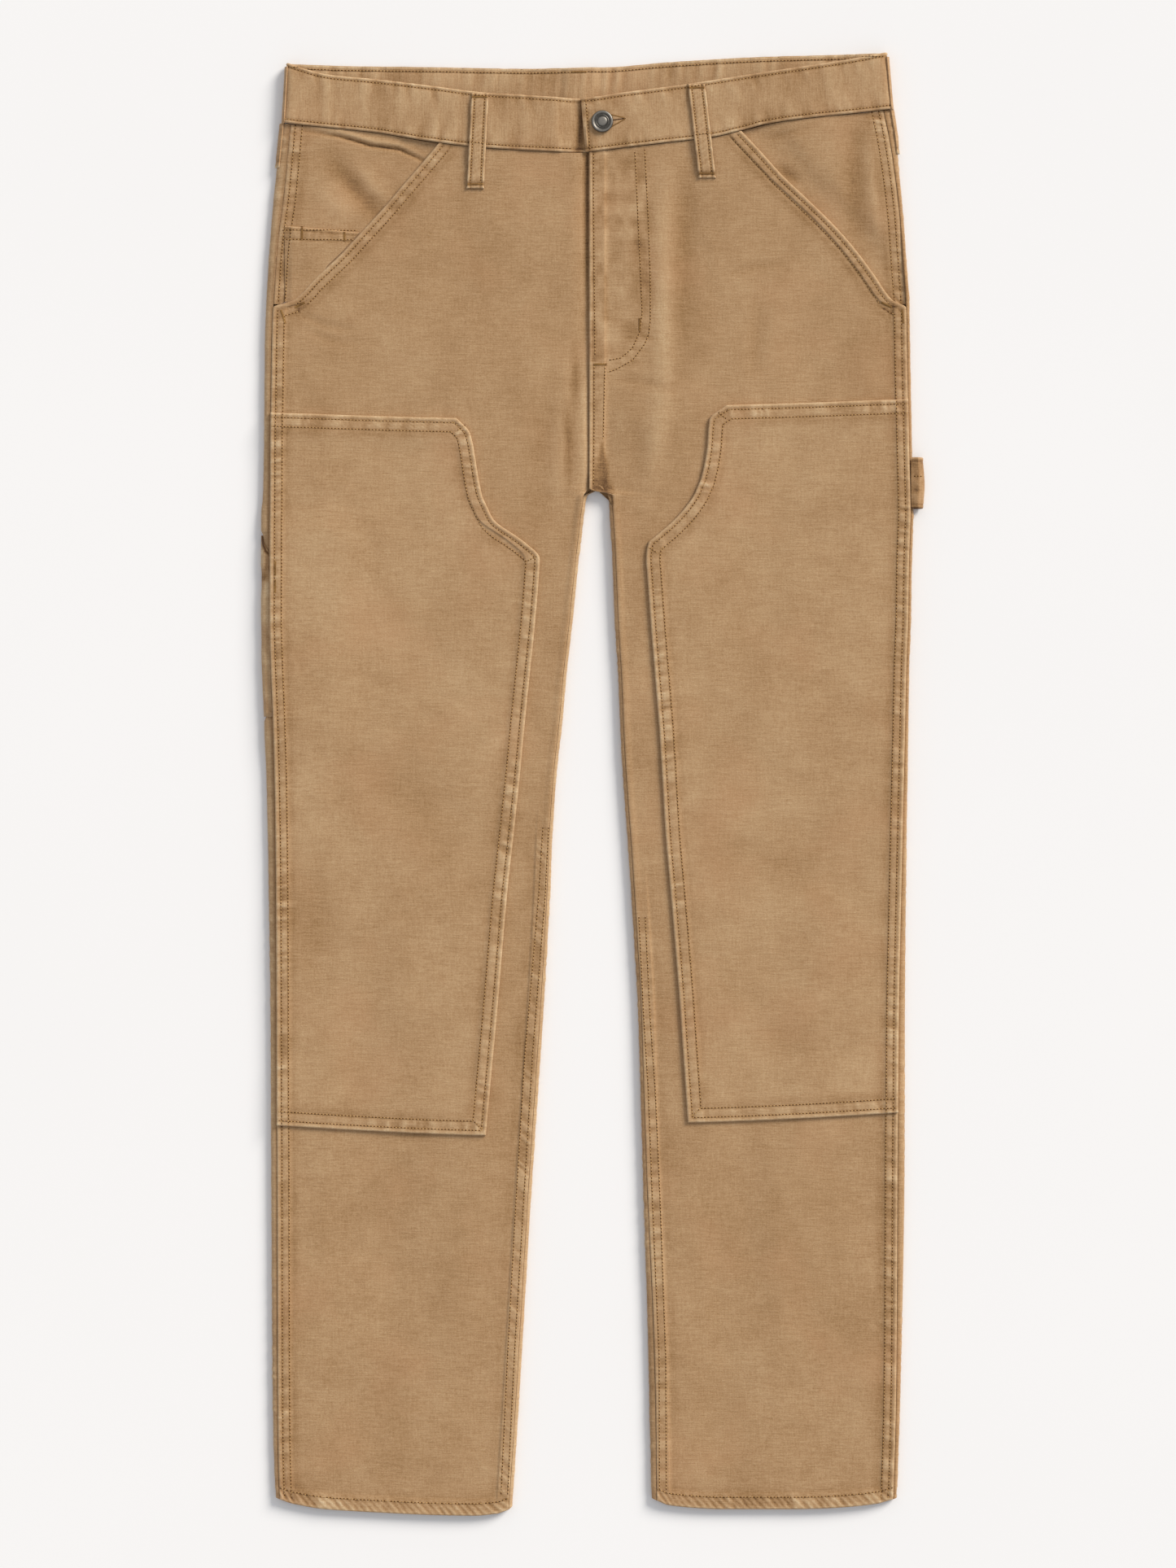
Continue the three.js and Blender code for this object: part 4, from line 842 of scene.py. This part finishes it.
POCKET_TOP = 191
POCKET_OPENING = [(-254.6, 194), (-253.4, 185), (-251.5, 179), (-247, 175)]
piece, places, normal = merged_copy("tool_pocket", 9)
x, y, z = places.T
down = POCKET_TOP - 13 * fade(x, -250, -254) - y
round_side = fade(z, 0.3, 1.5)
ripple = 0.16 * wander(y / 6 + 0.2 * x, 121) + 0.1 * wander(y / 2.3, 122)
mouth_shadow = crease(x, y, POCKET_OPENING, 1.2, 1)
bars = bell(y - 157.6, 0.9) + 0.8 * bell(y - 54.2, 1)
relief = np.where(z < 0.3, 0, ripple) * round_side - 0.5 * bell(down - 22, 9) * round_side
outside = np.where(z < 3.8, normal[:, 2] < 0.2, normal[:, 2] > -0.2)
# Painted light and shade: the ripples lighter on their highs and darker in their lows and in the hollow, the
# top edge lighter, partly wear and partly painted highlight, painted shadow in the open mouth, darker lines
# at the tack and the foot, and a lighter patch below the tack.
shades = 1.2 * relief + 0.5 * near_edge(np.abs(down), 2.5) + 0.3 + 1.6 * mouth_shadow - 0.8 * bars
places = places + normal * np.minimum(relief * outside, 0.3)[:, None]
shades += 0.25 * fade(places[:, 1], 144, 147) * fade(-places[:, 1], -157, -155)
lay_copy(piece, "tool_pocket", places, shades)

# Waistband
# One strip of duck folded double along its top, from the underlap round by the back to the
# lap over the fly, with a stitched row along both edges. A keyhole is cut in its lap.
BAND_STATIONS = 44
BAND_CLOTH = 2.4
BAND_MIDDLE = 4.1
BAND_SOFT = 0.7
BAND_ROW = 2.9
LAP_ROW = 3.6
BAND_GRAIN = {"step": 1.3, "wide": 2.1, "strip": 0}
LOOP_X = -10.3
BUTTON_X = 7.2
BUTTON_Y = 508.4
BUTTON_TILT = 0.14
EYE_RADIUS = 2.6
SLIT_WIDTH = 0.9
SLIT_END = 18
LAP_LEVEL = 7.9
CUTTER = 3.2
points, _, _, link = outer_side("waistband")
foot_line = points[along_border(points, link, (26, 489, 5.2), (-1, 0, 0), BAND_STATIONS)]
head_line = points[along_border(points, link, (25.6, 531, 5.2), (-1, 0, 0), BAND_STATIONS)]
for line in (foot_line, head_line):
    line[:, 2] += np.where(line[:, 2] > BAND_MIDDLE, BAND_SOFT, -BAND_SOFT)
    over_loop = np.flatnonzero((line[:, 2] < BAND_MIDDLE) & (np.abs(line[:, 0] - LOOP_X) < 12))
    line[over_loop[0], 0] -= 9
    line[over_loop[-1], 0] += 9
ends_of_band = [foot_line, 0.5 * (foot_line + head_line), head_line]
rows = finer(np.array(ends_of_band[::-1]), **BAND_GRAIN)
x, y = rows[..., 0], rows[..., 1]
head, foot, run, lap = edges_of(rows)
outward = normals_of(rows)
on_table = fade(-outward[..., 2], 0.7, 0.95)
gathers = np.zeros(rows.shape[:2])
for edge, seed in ((head, 131), (foot, 133)):
    reach = bell(edge, 11)
    gathers += 0.3 * reach * wander(run / 5.0 + 0.05 * edge, seed)
    gathers += 0.2 * reach * wander(run / 2.7, seed + 1)
gathers += 0.18 * wander_over(run / 7 + 30, y / 22, 135)
gathers += 0.3 * bell(lap, 9) * wander(y / 5, 136)
dents = sum(dent(edge, row, depth=0.45) for edge, row in ((head, BAND_ROW), (foot, BAND_ROW), (lap, LAP_ROW)))
under_lap = bell(x + 9 + 0.08 * (510 - y), 2.8) * (run < 60)
folds = near_edge(np.min([head, foot, lap, run], axis=0), 1.6)
rolls = np.clip(rolled(head, 2.6) + rolled(foot, 2.6) + rolled(lap, 3.2), 0, 1)
relief = gathers + dents + 0.35 * rolls - 0.9 * under_lap - 0.9 * turned(folds)
relief = np.where(on_table > 0, np.minimum(relief, 0) * on_table + relief * (1 - on_table), relief)
rows += outward * relief[..., None]
# Painted shadow on the underlap beside the lap's edge; rolled edges and pucker ridges lighter, partly wear
# and partly painted highlight; painted shade in the stitch dents and pucker hollows.
wear_and_painted_light = 0.06 + 0.9 * gathers + 0.22 * rolls + 1.2 * dents - 0.9 * under_lap
wear_and_painted_light += 0.3 * bell(lap, 16) * wander_over(x / 5 + 9, y / 8, 138)
inside = 0.36 * wander(run / 4.6, 137) * bell(head - 8, 10) + 0.2 * wander(run / 2.4, 139)
inside = inside * fade(head, 0, 3) + dent(head, BAND_ROW + 0.6, depth=0.4) + 0.3 * rolled(head, 2.8)
# The band's inner face: its puckers painted lighter and darker as they rise and fall, and its top edge
# lighter.
piece = sew_up("waistband", rows, BAND_CLOTH + inside, wear_and_painted_light, coarse=(1, 1),
               under_shade=0.8 * inside + 0.3 * rolled(head, 2.8) + 0.1, inward=True, material=duck_on_end)
tilt = Vector((math.cos(BUTTON_TILT), math.sin(BUTTON_TILT)))
eye_place = Vector((BUTTON_X, BUTTON_Y, LAP_LEVEL))
slit_place = eye_place + tilt.to_3d() * SLIT_END / 2
bpy.ops.mesh.primitive_cylinder_add(vertices=32, radius=EYE_RADIUS * MM, depth=CUTTER * MM,
                                    location=eye_place * MM)
eye = bpy.context.object
bpy.ops.mesh.primitive_cube_add(size=1, location=slit_place * MM, rotation=(0, 0, BUTTON_TILT),
                                scale=(SLIT_END * MM, SLIT_WIDTH * MM, CUTTER * MM))
slit = bpy.context.object
slit.select_set(False)
bpy.context.view_layer.objects.active = piece
for cutter in (eye, slit):
    cutter.select_set(False)
    cut = piece.modifiers.new("keyhole", "BOOLEAN")
    cut.object = cutter
    cut.solver = "EXACT"
    bpy.ops.object.modifier_apply(modifier=cut.name)
    bpy.data.objects.remove(cutter)

# Belt loops
# Narrow straps of duck with both edges folded in and stitched, folded under and tacked to the
# band's top edge and below its lower one.
LOOP_CLOTH = 1.5
LOOP_ROW = 3.1
LOOP_DROP = 0.7
TACK_AT = 3.2
LOOP_GRAIN = {"step": 0.9, "wide": 0.9, "strip": 0}
LOOP_CORNERS = {"front_right": (-93.5, 530.4, 9.7), "front_left": (72.5, 537.4, 10.1)}
loop_rows = []
for name, corner in LOOP_CORNERS.items():
    rows = finer(wall_rows(f"belt_loop_{name}", (7, 4), corner, (1, 0, 0)), **LOOP_GRAIN)
    loop_rows.append(rows.copy())
    down, foot, one, two = edges_of(rows)
    edge, ends = np.minimum(one, two), np.minimum(down, foot)
    ribs = wander(down + 0.7 * one, 141) * fade(edge, 2.5, 4)
    gathers = 0.16 * ribs + 0.2 * wander(down / 3.2 + 0.2 * edge, 142) * bell(edge, 4)
    tacks = dent(ends, TACK_AT, depth=0.5, width=1.6)
    dents = dent(edge, LOOP_ROW, depth=0.45, width=0.7) + tacks
    folds = near_edge(np.minimum(edge, ends), 1.2)
    relief = gathers + dents + 0.2 * rolled(edge) - LOOP_DROP * turned(folds)
    rows += normals_of(rows) * relief[..., None]
    # Painted shade in the rib hollows, stitch rows and tacks; rib ridges and rolled edges lighter, partly
    # wear and partly painted highlight.
    wear_and_painted_light = 0.12 + 1.3 * gathers + 1.2 * dents + 0.2 * rolled(edge, 2.4) + 0.25 * rolled(ends, 2.4)
    piece = sew_up(f"belt_loop_{name}", rows, LOOP_CLOTH, wear_and_painted_light, coarse=(4, 2), inward=True,
                   material=duck_on_end)
SIDE_LOOP_CUTS = 5
for side in SIDES:
    piece, places, normal = merged_copy(f"belt_loop_side_{side}", SIDE_LOOP_CUTS)
    foot = places[:, 1] - places[:, 1].min()
    ribs = wander((places[:, 1] + 0.7 * places[:, 2]) / 1.7, 147)
    sunk = 0.12 * ribs - 0.4 * bell(foot - 4.5, 1.4)
    outside = (normal[:, 0] * places[:, 0] > 0).astype(float)
    places += normal * (np.minimum(sunk, 0.1) * outside)[:, None]
    # Painted shade in the sunk stitch line and rib hollows, painted highlight on the ribs, and the foot's end
    # lighter.
    lay_copy(piece, f"belt_loop_side_{side}", places, 1.1 * sunk + 0.8 * near_edge(foot, 3))
coarse = wall_rows("belt_loop_back", (3, 2), (-16.9, 549.1, 0), (1, 0, 0), (0, 0, -1))
rows = finer(coarse, **LOOP_GRAIN)
down, foot, one, two = edges_of(rows)
edge, ends = np.minimum(one, two), np.minimum(down, foot)
hollow = dent(edge, LOOP_ROW, depth=0.2, width=0.7) + dent(ends, TACK_AT, depth=0.3, width=1.6)
rows += normals_of(rows, -1) * hollow[..., None]
# Painted shade in the stitch hollows, and the edges lighter, partly wear and partly painted highlight.
wear_and_painted_light = 0.5 * near_edge(edge, 2) + hollow
piece = sew_up("belt_loop_back", rows, THIN_CLOTH, wear_and_painted_light, up=-1, inward=True)

# Hammer loop
# A strap of doubled duck on the left side seam, bowed out and back to the leg, so that a
# hammer's handle hangs through it.
coarse = wall_rows("hammer_loop", (5, 9), (244.2, 250.9, 8.2), (1, 0, 0), None)
rows = finer(coarse, step=1.0, wide=1.0, strip=0)
down, foot, around, _ = edges_of(rows)
edge = np.minimum(down, foot)
gathers = 0.3 * wander_over(around / 4 + 20, down / 5 + 20, 151) + 0.15 * wander(around / 2.4, 152)
dents = dent(edge, LOOP_ROW, depth=0.25)
relief = np.minimum(gathers + dents - LOOP_DROP * turned(near_edge(edge, 1.3)), 0.2)
relief = np.where(rows[..., 2] < 1, np.minimum(relief, 0), relief)
rows += normals_of(rows) * relief[..., None]
# Painted shade in the stitch dents, the pucker hollows and at its foot, where its opening lies; pucker ridges
# and rolled edges lighter, partly wear and partly painted highlight; a little darker overall.
wear_and_painted_light = 0.9 * gathers + dents + 0.3 * rolled(edge, 2) - 0.2 - 0.7 * bell(foot, 1.5)
piece = sew_up("hammer_loop", rows, LOOP_CLOTH, wear_and_painted_light, coarse=(4, 2), inward=True)

# Waist button
# A shank button of dull pewter, pressed with a raised rim, a ring groove and a domed middle.
# Its post goes through the keyhole and is riveted in the underlap.
POST_FOOT = 6.2
POST_RADIUS = 2.0
SEAT = 8.9
BUTTON_STEPS = [
    (2.0, 0), (7.8, 0), (8.2, 0.25), (8.4, 0.7), (8.4, 1.5), (8.1, 2.1), (7.5, 2.45), (6.8, 2.4),
    (6.3, 2.05), (5.9, 1.7), (5.2, 1.65), (4.9, 1.9), (4.6, 1.95), (4.3, 1.7), (3.9, 1.7), (3.6, 2.15),
    (3.0, 2.4), (2.0, 2.52), (0.9, 2.58),
]


def dull_pewter():
    """Dull pewter plating: dark grey and worn lighter on its raised parts, with dirt in its grooves."""
    material, tree, place, shader = new_material("dull_pewter", 0.5)
    noise = add(tree, "ShaderNodeTexNoise", {"Vector": place, "Scale": 0.6 / MM, "Detail": 4.0})
    spots = noise.outputs[0]
    tone = add(tree, "ShaderNodeValToRGB", {0: spots})
    tone.color_ramp.elements[0].color = linear("#2E2C29")
    tone.color_ramp.elements[1].color = linear("#77726A")
    worn = add(tree, "ShaderNodeAttribute", {}, attribute_name="wear_and_painted_light").outputs["Fac"]
    tinted(tree, shader, worn, tone.outputs[0], "#A8A298")
    rough = add(tree, "ShaderNodeMapRange", {0: spots, 3: 0.34, 4: 0.52})
    tree.links.new(rough.outputs[0], shader.inputs["Roughness"])
    bump = add(tree, "ShaderNodeBump", {"Strength": 0.25, "Distance": 0.05 * MM, "Height": spots})
    tree.links.new(bump.outputs[0], shader.inputs["Normal"])
    shader.inputs["Metallic"].default_value = 0.9
    return material


bpy.ops.mesh.primitive_circle_add(vertices=40, radius=POST_RADIUS * MM, fill_type="NGON",
                                  location=(BUTTON_X * MM, BUTTON_Y * MM, POST_FOOT * MM))
button = bpy.context.object
button.name = "waist_button_metal"
bpy.ops.object.transform_apply(location=True)
bpy.ops.object.mode_set(mode="EDIT")
bpy.ops.mesh.select_all(action="SELECT")
centre = Vector((BUTTON_X * MM, BUTTON_Y * MM, 0))
radius, level = POST_RADIUS, POST_FOOT
for next_radius, rise in BUTTON_STEPS:
    lift = (SEAT + rise - level) * MM
    bpy.ops.mesh.extrude_region_move(TRANSFORM_OT_translate={"value": (0, 0, lift)})
    scale = next_radius / radius
    bpy.ops.transform.resize(value=(scale, scale, 1), center_override=centre)
    radius, level = next_radius, SEAT + rise
bpy.ops.mesh.select_all(action="SELECT")
bpy.ops.mesh.normals_make_consistent(inside=False)
bpy.ops.object.mode_set(mode="OBJECT")
levels = np.array([v.co.z / MM for v in button.data.vertices])
worn = np.clip((levels - SEAT - 2.0) / 0.8, 0, 0.6)
button.data.attributes.new("wear_and_painted_light", "FLOAT", "POINT").data.foreach_set("value", worn)
button.data.materials.append(dull_pewter())
smooth(button, 45)
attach(button, "root")
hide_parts("waist_button")

# Sewing
# Cotton-wrapped thread in nearly the cloth's tan, about 10 stitches an inch, with a bead of painted
# shade for the needle hole between each two. Bar tacks of close thread, darker partly from painted
# shade, hold the ends of pockets, loops and fly.
PITCH = 2.6
STITCH = 1.7
THREAD = 0.78
HOLE = (1.45, 1.2)


def plain_material(name, low, high, roughness):
    """Cotton thread, or the shade in a hole that a needle has left, with a little variation."""
    material, tree, place, shader = new_material(name, roughness, 0.2)
    spots = add(tree, "ShaderNodeTexNoise", {"Vector": place, "Scale": 0.12 / MM, "Detail": 3.0})
    tone = add(tree, "ShaderNodeMapRange", {0: spots.outputs[0], 1: 0.35, 2: 0.65})
    tinted(tree, shader, tone.outputs[0], low, high)
    return material


thread_material = plain_material("cotton_thread", "#A47D4B", "#C09A64", 0.8)
# Dark beads of painted shade for the needle holes, and tack thread darker partly from painted shade.
hole_shade_material = plain_material("needle_hole_shade", "#4E3117", "#6B4626", 0.95)
tack_thread_and_shade_material = plain_material("tack_thread_and_shade", "#7A572F", "#A37C48", 0.85)


def ground(x, y, way=-1):
    """Height of the uppermost cloth at a place, or with way as 1 of the lowest."""
    origin = Vector((x * MM, y * MM, -0.05 * way))
    levels = []
    for tree in landing:
        hit = tree.ray_cast(origin, Vector((0, 0, way)))[0]
        if hit is not None:
            levels.append(hit.z / MM)
    if not levels:
        return None
    return max(levels) if way < 0 else min(levels)


sewing_pieces = {}


def stations(line, pitch, start=0.6):
    """Places along a line, an even pitch apart, each with the line's direction there."""
    line = np.array(line, float)[:, :2]
    steps = np.linalg.norm(np.diff(line, axis=0), axis=1)
    at = np.concatenate([[0], np.cumsum(steps)])
    for run in np.arange(start, at[-1] - 0.4, pitch):
        k = min(np.searchsorted(at, run, side="right") - 1, len(steps) - 1)
        share = (run - at[k]) / steps[k]
        yield line[k] + (line[k + 1] - line[k]) * share, (line[k + 1] - line[k]) / steps[k]


def add_bead(group, centre, direction, length, width, height, material, way=-1, rings=3):
    """One stitch, or one hole: a half round bead that lies on the cloth."""
    half = direction * length / 2
    ends = [ground(*(centre - half * 0.8), way), ground(*(centre + half * 0.8), way)]
    if None in ends:
        return
    vertices, faces, kinds = sewing_pieces.setdefault(group, ([], [], []))
    base = len(vertices)
    side = np.array([-direction[1], direction[0]])
    shares = np.linspace(-0.62, 0.62, rings)
    profile = [(-0.5, -0.35), (-0.34, 0.6), (0.34, 0.6), (0.5, -0.35)]
    for share in shares:
        taper = 1 - 0.25 * abs(share)
        level = ends[0] + (ends[1] - ends[0]) * (share / 1.6 + 0.5)
        for across, up in profile:
            x, y = centre + half * share + side * across * width * taper
            vertices.append((x * MM, y * MM, (level - way * up * height * taper) * MM))
    for share in (-1, 1):
        x, y = centre + half * share
        level = ends[0] if share < 0 else ends[1]
        vertices.append((x * MM, y * MM, (level + way * 0.3 * height) * MM))
    made = []
    for ring in range(rings - 1):
        for k in range(4):
            a, b = base + ring * 4 + k, base + ring * 4 + (k + 1) % 4
            made.append((a, b, b + 4, a + 4))
    first_tip, last_tip = base + rings * 4, base + rings * 4 + 1
    last = base + (rings - 1) * 4
    for k in range(4):
        made.append((base + (k + 1) % 4, base + k, first_tip))
        made.append((last + k, last + (k + 1) % 4, last_tip))
    if way < 0:
        made = [face[::-1] for face in made]
    faces.extend(made)
    kinds.extend([material] * len(made))


jitter = np.random.default_rng(7)


def sew(group, line, pitch=PITCH, way=-1):
    """A row of stitches along a line, with a dark bead of painted shade for the needle hole between each two.
    """
    for k, (place, direction) in enumerate(stations(line, pitch / 2)):
        turn = jitter.normal(0, 0.05)
        direction = np.array([direction[0] - turn * direction[1], direction[1] + turn * direction[0]])
        if k % 2:
            add_bead(group, place, direction, STITCH, THREAD, 0.34, 0, way)
        else:
            add_bead(group, place, direction, HOLE[0], HOLE[1], 0.16, 1, way, rings=2)


def tack(group, start, end, width=2.4, way=-1):
    """A bar tack: close thread across a line, over its whole length."""
    for place, direction in stations([start, end], 0.55, 0.2):
        lean = np.array([-direction[1], direction[0]]) + direction * jitter.normal(0, 0.12)
        add_bead(group, place, lean, width, 0.5, 0.45, 2, way)


def inset(rows, side, distance):
    """The line through a wall's points that far in from one of its sides."""
    if side in (TOP_SIDE, HEM_SIDE):
        rows = rows.transpose(1, 0, 2)
    if side in (HEM_SIDE, INNER_SIDE):
        rows = rows[:, ::-1]
    line = []
    for row in rows:
        at = np.concatenate([[0], np.cumsum(np.linalg.norm(np.diff(row, axis=0), axis=1))])
        line.append([np.interp(distance, at, row[:, axis]) for axis in (0, 1, 2)])
    return np.array(line)


def part_of(line, above=-1e9, below=1e9):
    """The stretch of a line between two heights of the frame."""
    return np.array([p for p in line if above <= p[1] <= below])


for side, inward in SIDES.items():
    panel = finer(wall_grids[f"front_panel_{side}"], wide=60)
    facing = finer(wall_grids[f"hip_pocket_facing_{side}"], strip=0)
    patch = finer(wall_grids[f"knee_patch_{side}"], wide=60)
    group = f"leg_{side}"
    for row in SEAM_ROWS:
        line = moved_line(even_line(panel[:, 0]), row, inward)
        sew(group, part_of(line, below=364))
        sew(group, part_of(inset(facing, SEAM_SIDE, row), above=370))
        sew("pockets", part_of(line, above=368))
    sew(group, inset(panel, HEM_SIDE, HEM_ROW)[2:-2])
    for row in PATCH_ROWS:
        sew(f"patch_{side}", moved_line(patch_border(patch), row, -inward))

INSEAMS = {
    "right": [
        [(-38.4, -33.4), (-41.6, -85.3), (-52.2, -207.8), (-59.7, -330.9), (-65.3, -435.3), (-70.6, -546.6)],
        [(-34.1, -33.4), (-36.6, -85.3), (-46.3, -207.8), (-53.8, -330.9), (-60.1, -435.3), (-65.5, -546.6)],
    ],
    "left": [
        [(35.3, -102.2), (38.9, -177.2), (42.6, -235.9), (45.7, -319.7), (50.9, -439.7), (51.1, -542.8)],
        [(40.2, -102.2), (43.8, -177.2), (47.9, -235.9), (51.6, -319.7), (55.9, -439.7), (56.4, -542.8)],
    ],
}
for side, lines in INSEAMS.items():
    for line in lines:
        sew(f"leg_{side}", line)

FLY_ROWS = [
    [(0.5, 484), (0.4, 450.9), (1.0, 388.4), (1.6, 328.4)],
    *FLY_CURVES,
    [(0.9, 322.2), (0.9, 277.2), (0.3, 229.1)],
    [(9.1, 322.2), (8.4, 289.7), (7.8, 264.7)],
]
for line in FLY_ROWS:
    sew("fly", line)
for start, end in (((35.9, 357.8), (35.9, 347.8)), ((0.9, 322.2), (10.9, 322.2))):
    tack("fly", start, end)
MITRES = {
    "patch_right": [((-104.1, 270.9), (-97.8, 275.9)), ((-52.2, 170.3), (-42.8, 174.7)),
                    ((-90.9, -259.1), (-84.7, -265.9))],
    "patch_left": [((102.2, 280.3), (95.3, 285.9)), ((41.6, 182.2), (49.7, 177.2)),
                   ((75.9, -255.3), (82.2, -249.1))],
}
for group, lines in MITRES.items():
    for line in lines:
        sew(group, line, pitch=2.2)
for line in ([(-238.4, 425.3), (-180.3, 425.3)], [(-238.4, 418.1), (-182.8, 418.1)]):
    sew("pockets", line)
for start, end in (((-223.4, 428.4), (-223.4, 417.8)), ((-190.9, 424.1), (-190.9, 416.6)),
                   ((-229, 366), (-221, 370)), ((-239.5, 364), (-236, 353)),
                   ((229.5, 366), (221.5, 370)), ((237.5, 364), (238.5, 353)),
                   ((-243.9, 170.9), (-243.9, 159.7)), ((-243.9, 156.6), (-243.9, 146.6))):
    tack("pockets", start, end)

fine_band = finer(np.array(ends_of_band[::-1]), **BAND_GRAIN)
for band_side in (TOP_SIDE, HEM_SIDE):
    line = inset(fine_band, band_side, BAND_ROW)
    in_front = line[:, 2] > BAND_MIDDLE + 2
    for part in np.split(line, np.flatnonzero(np.diff(in_front.astype(int))) + 1):
        if part[0][2] > BAND_MIDDLE + 2 and len(part) > 3:
            sew("waist", part)
        elif len(part) > 40:
            sew("waist", part, way=1)
            if band_side == TOP_SIDE:
                sew("waist", part - [0, 0.7, 0])
sew("waist", part_of(inset(fine_band, INNER_SIDE, LAP_ROW)))

LOOP_PITCH = 2.3
for rows in loop_rows:
    for long_side in (SEAM_SIDE, INNER_SIDE):
        sew("loops", inset(rows, long_side, LOOP_ROW)[4:-4], pitch=LOOP_PITCH)
    for short_side in (TOP_SIDE, HEM_SIDE):
        line = inset(rows, short_side, TACK_AT)
        tack("loops", line[0] + [0.8, 0, 0], line[-1] - [0.8, 0, 0], width=1.9)
tack("loops", (-16, 547.4), (-4.6, 547.4), width=2.0)
sew("loops", [(246.4, 236.2), (255.6, 236.2)], pitch=LOOP_PITCH)

EYE_END = 6.5
HOLE_TIP = 17.4
HOLE_WIDE = 4.3
for way in (-1, 1):
    for run in np.arange(EYE_END, HOLE_TIP, 0.6):
        reach = HOLE_WIDE * (HOLE_TIP - run) / (HOLE_TIP - EYE_END) + 0.5
        lean = np.array([-tilt.y, tilt.x]) * way
        spot = np.array([BUTTON_X + tilt.x * run, BUTTON_Y + tilt.y * run]) + lean * reach
        add_bead("waist", spot, lean, 1.5, 0.55, 0.35, 2)
for group, (vertices, faces, kinds) in sewing_pieces.items():
    mesh = bpy.data.meshes.new(f"thread_{group}")
    mesh.from_pydata(vertices, [], faces)
    for material in (thread_material, hole_shade_material, tack_thread_and_shade_material):
        mesh.materials.append(material)
    mesh.polygons.foreach_set("material_index", kinds)
    thread = placed(f"thread_{group}", mesh)
    smooth(thread, 70)
    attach(thread, "root")
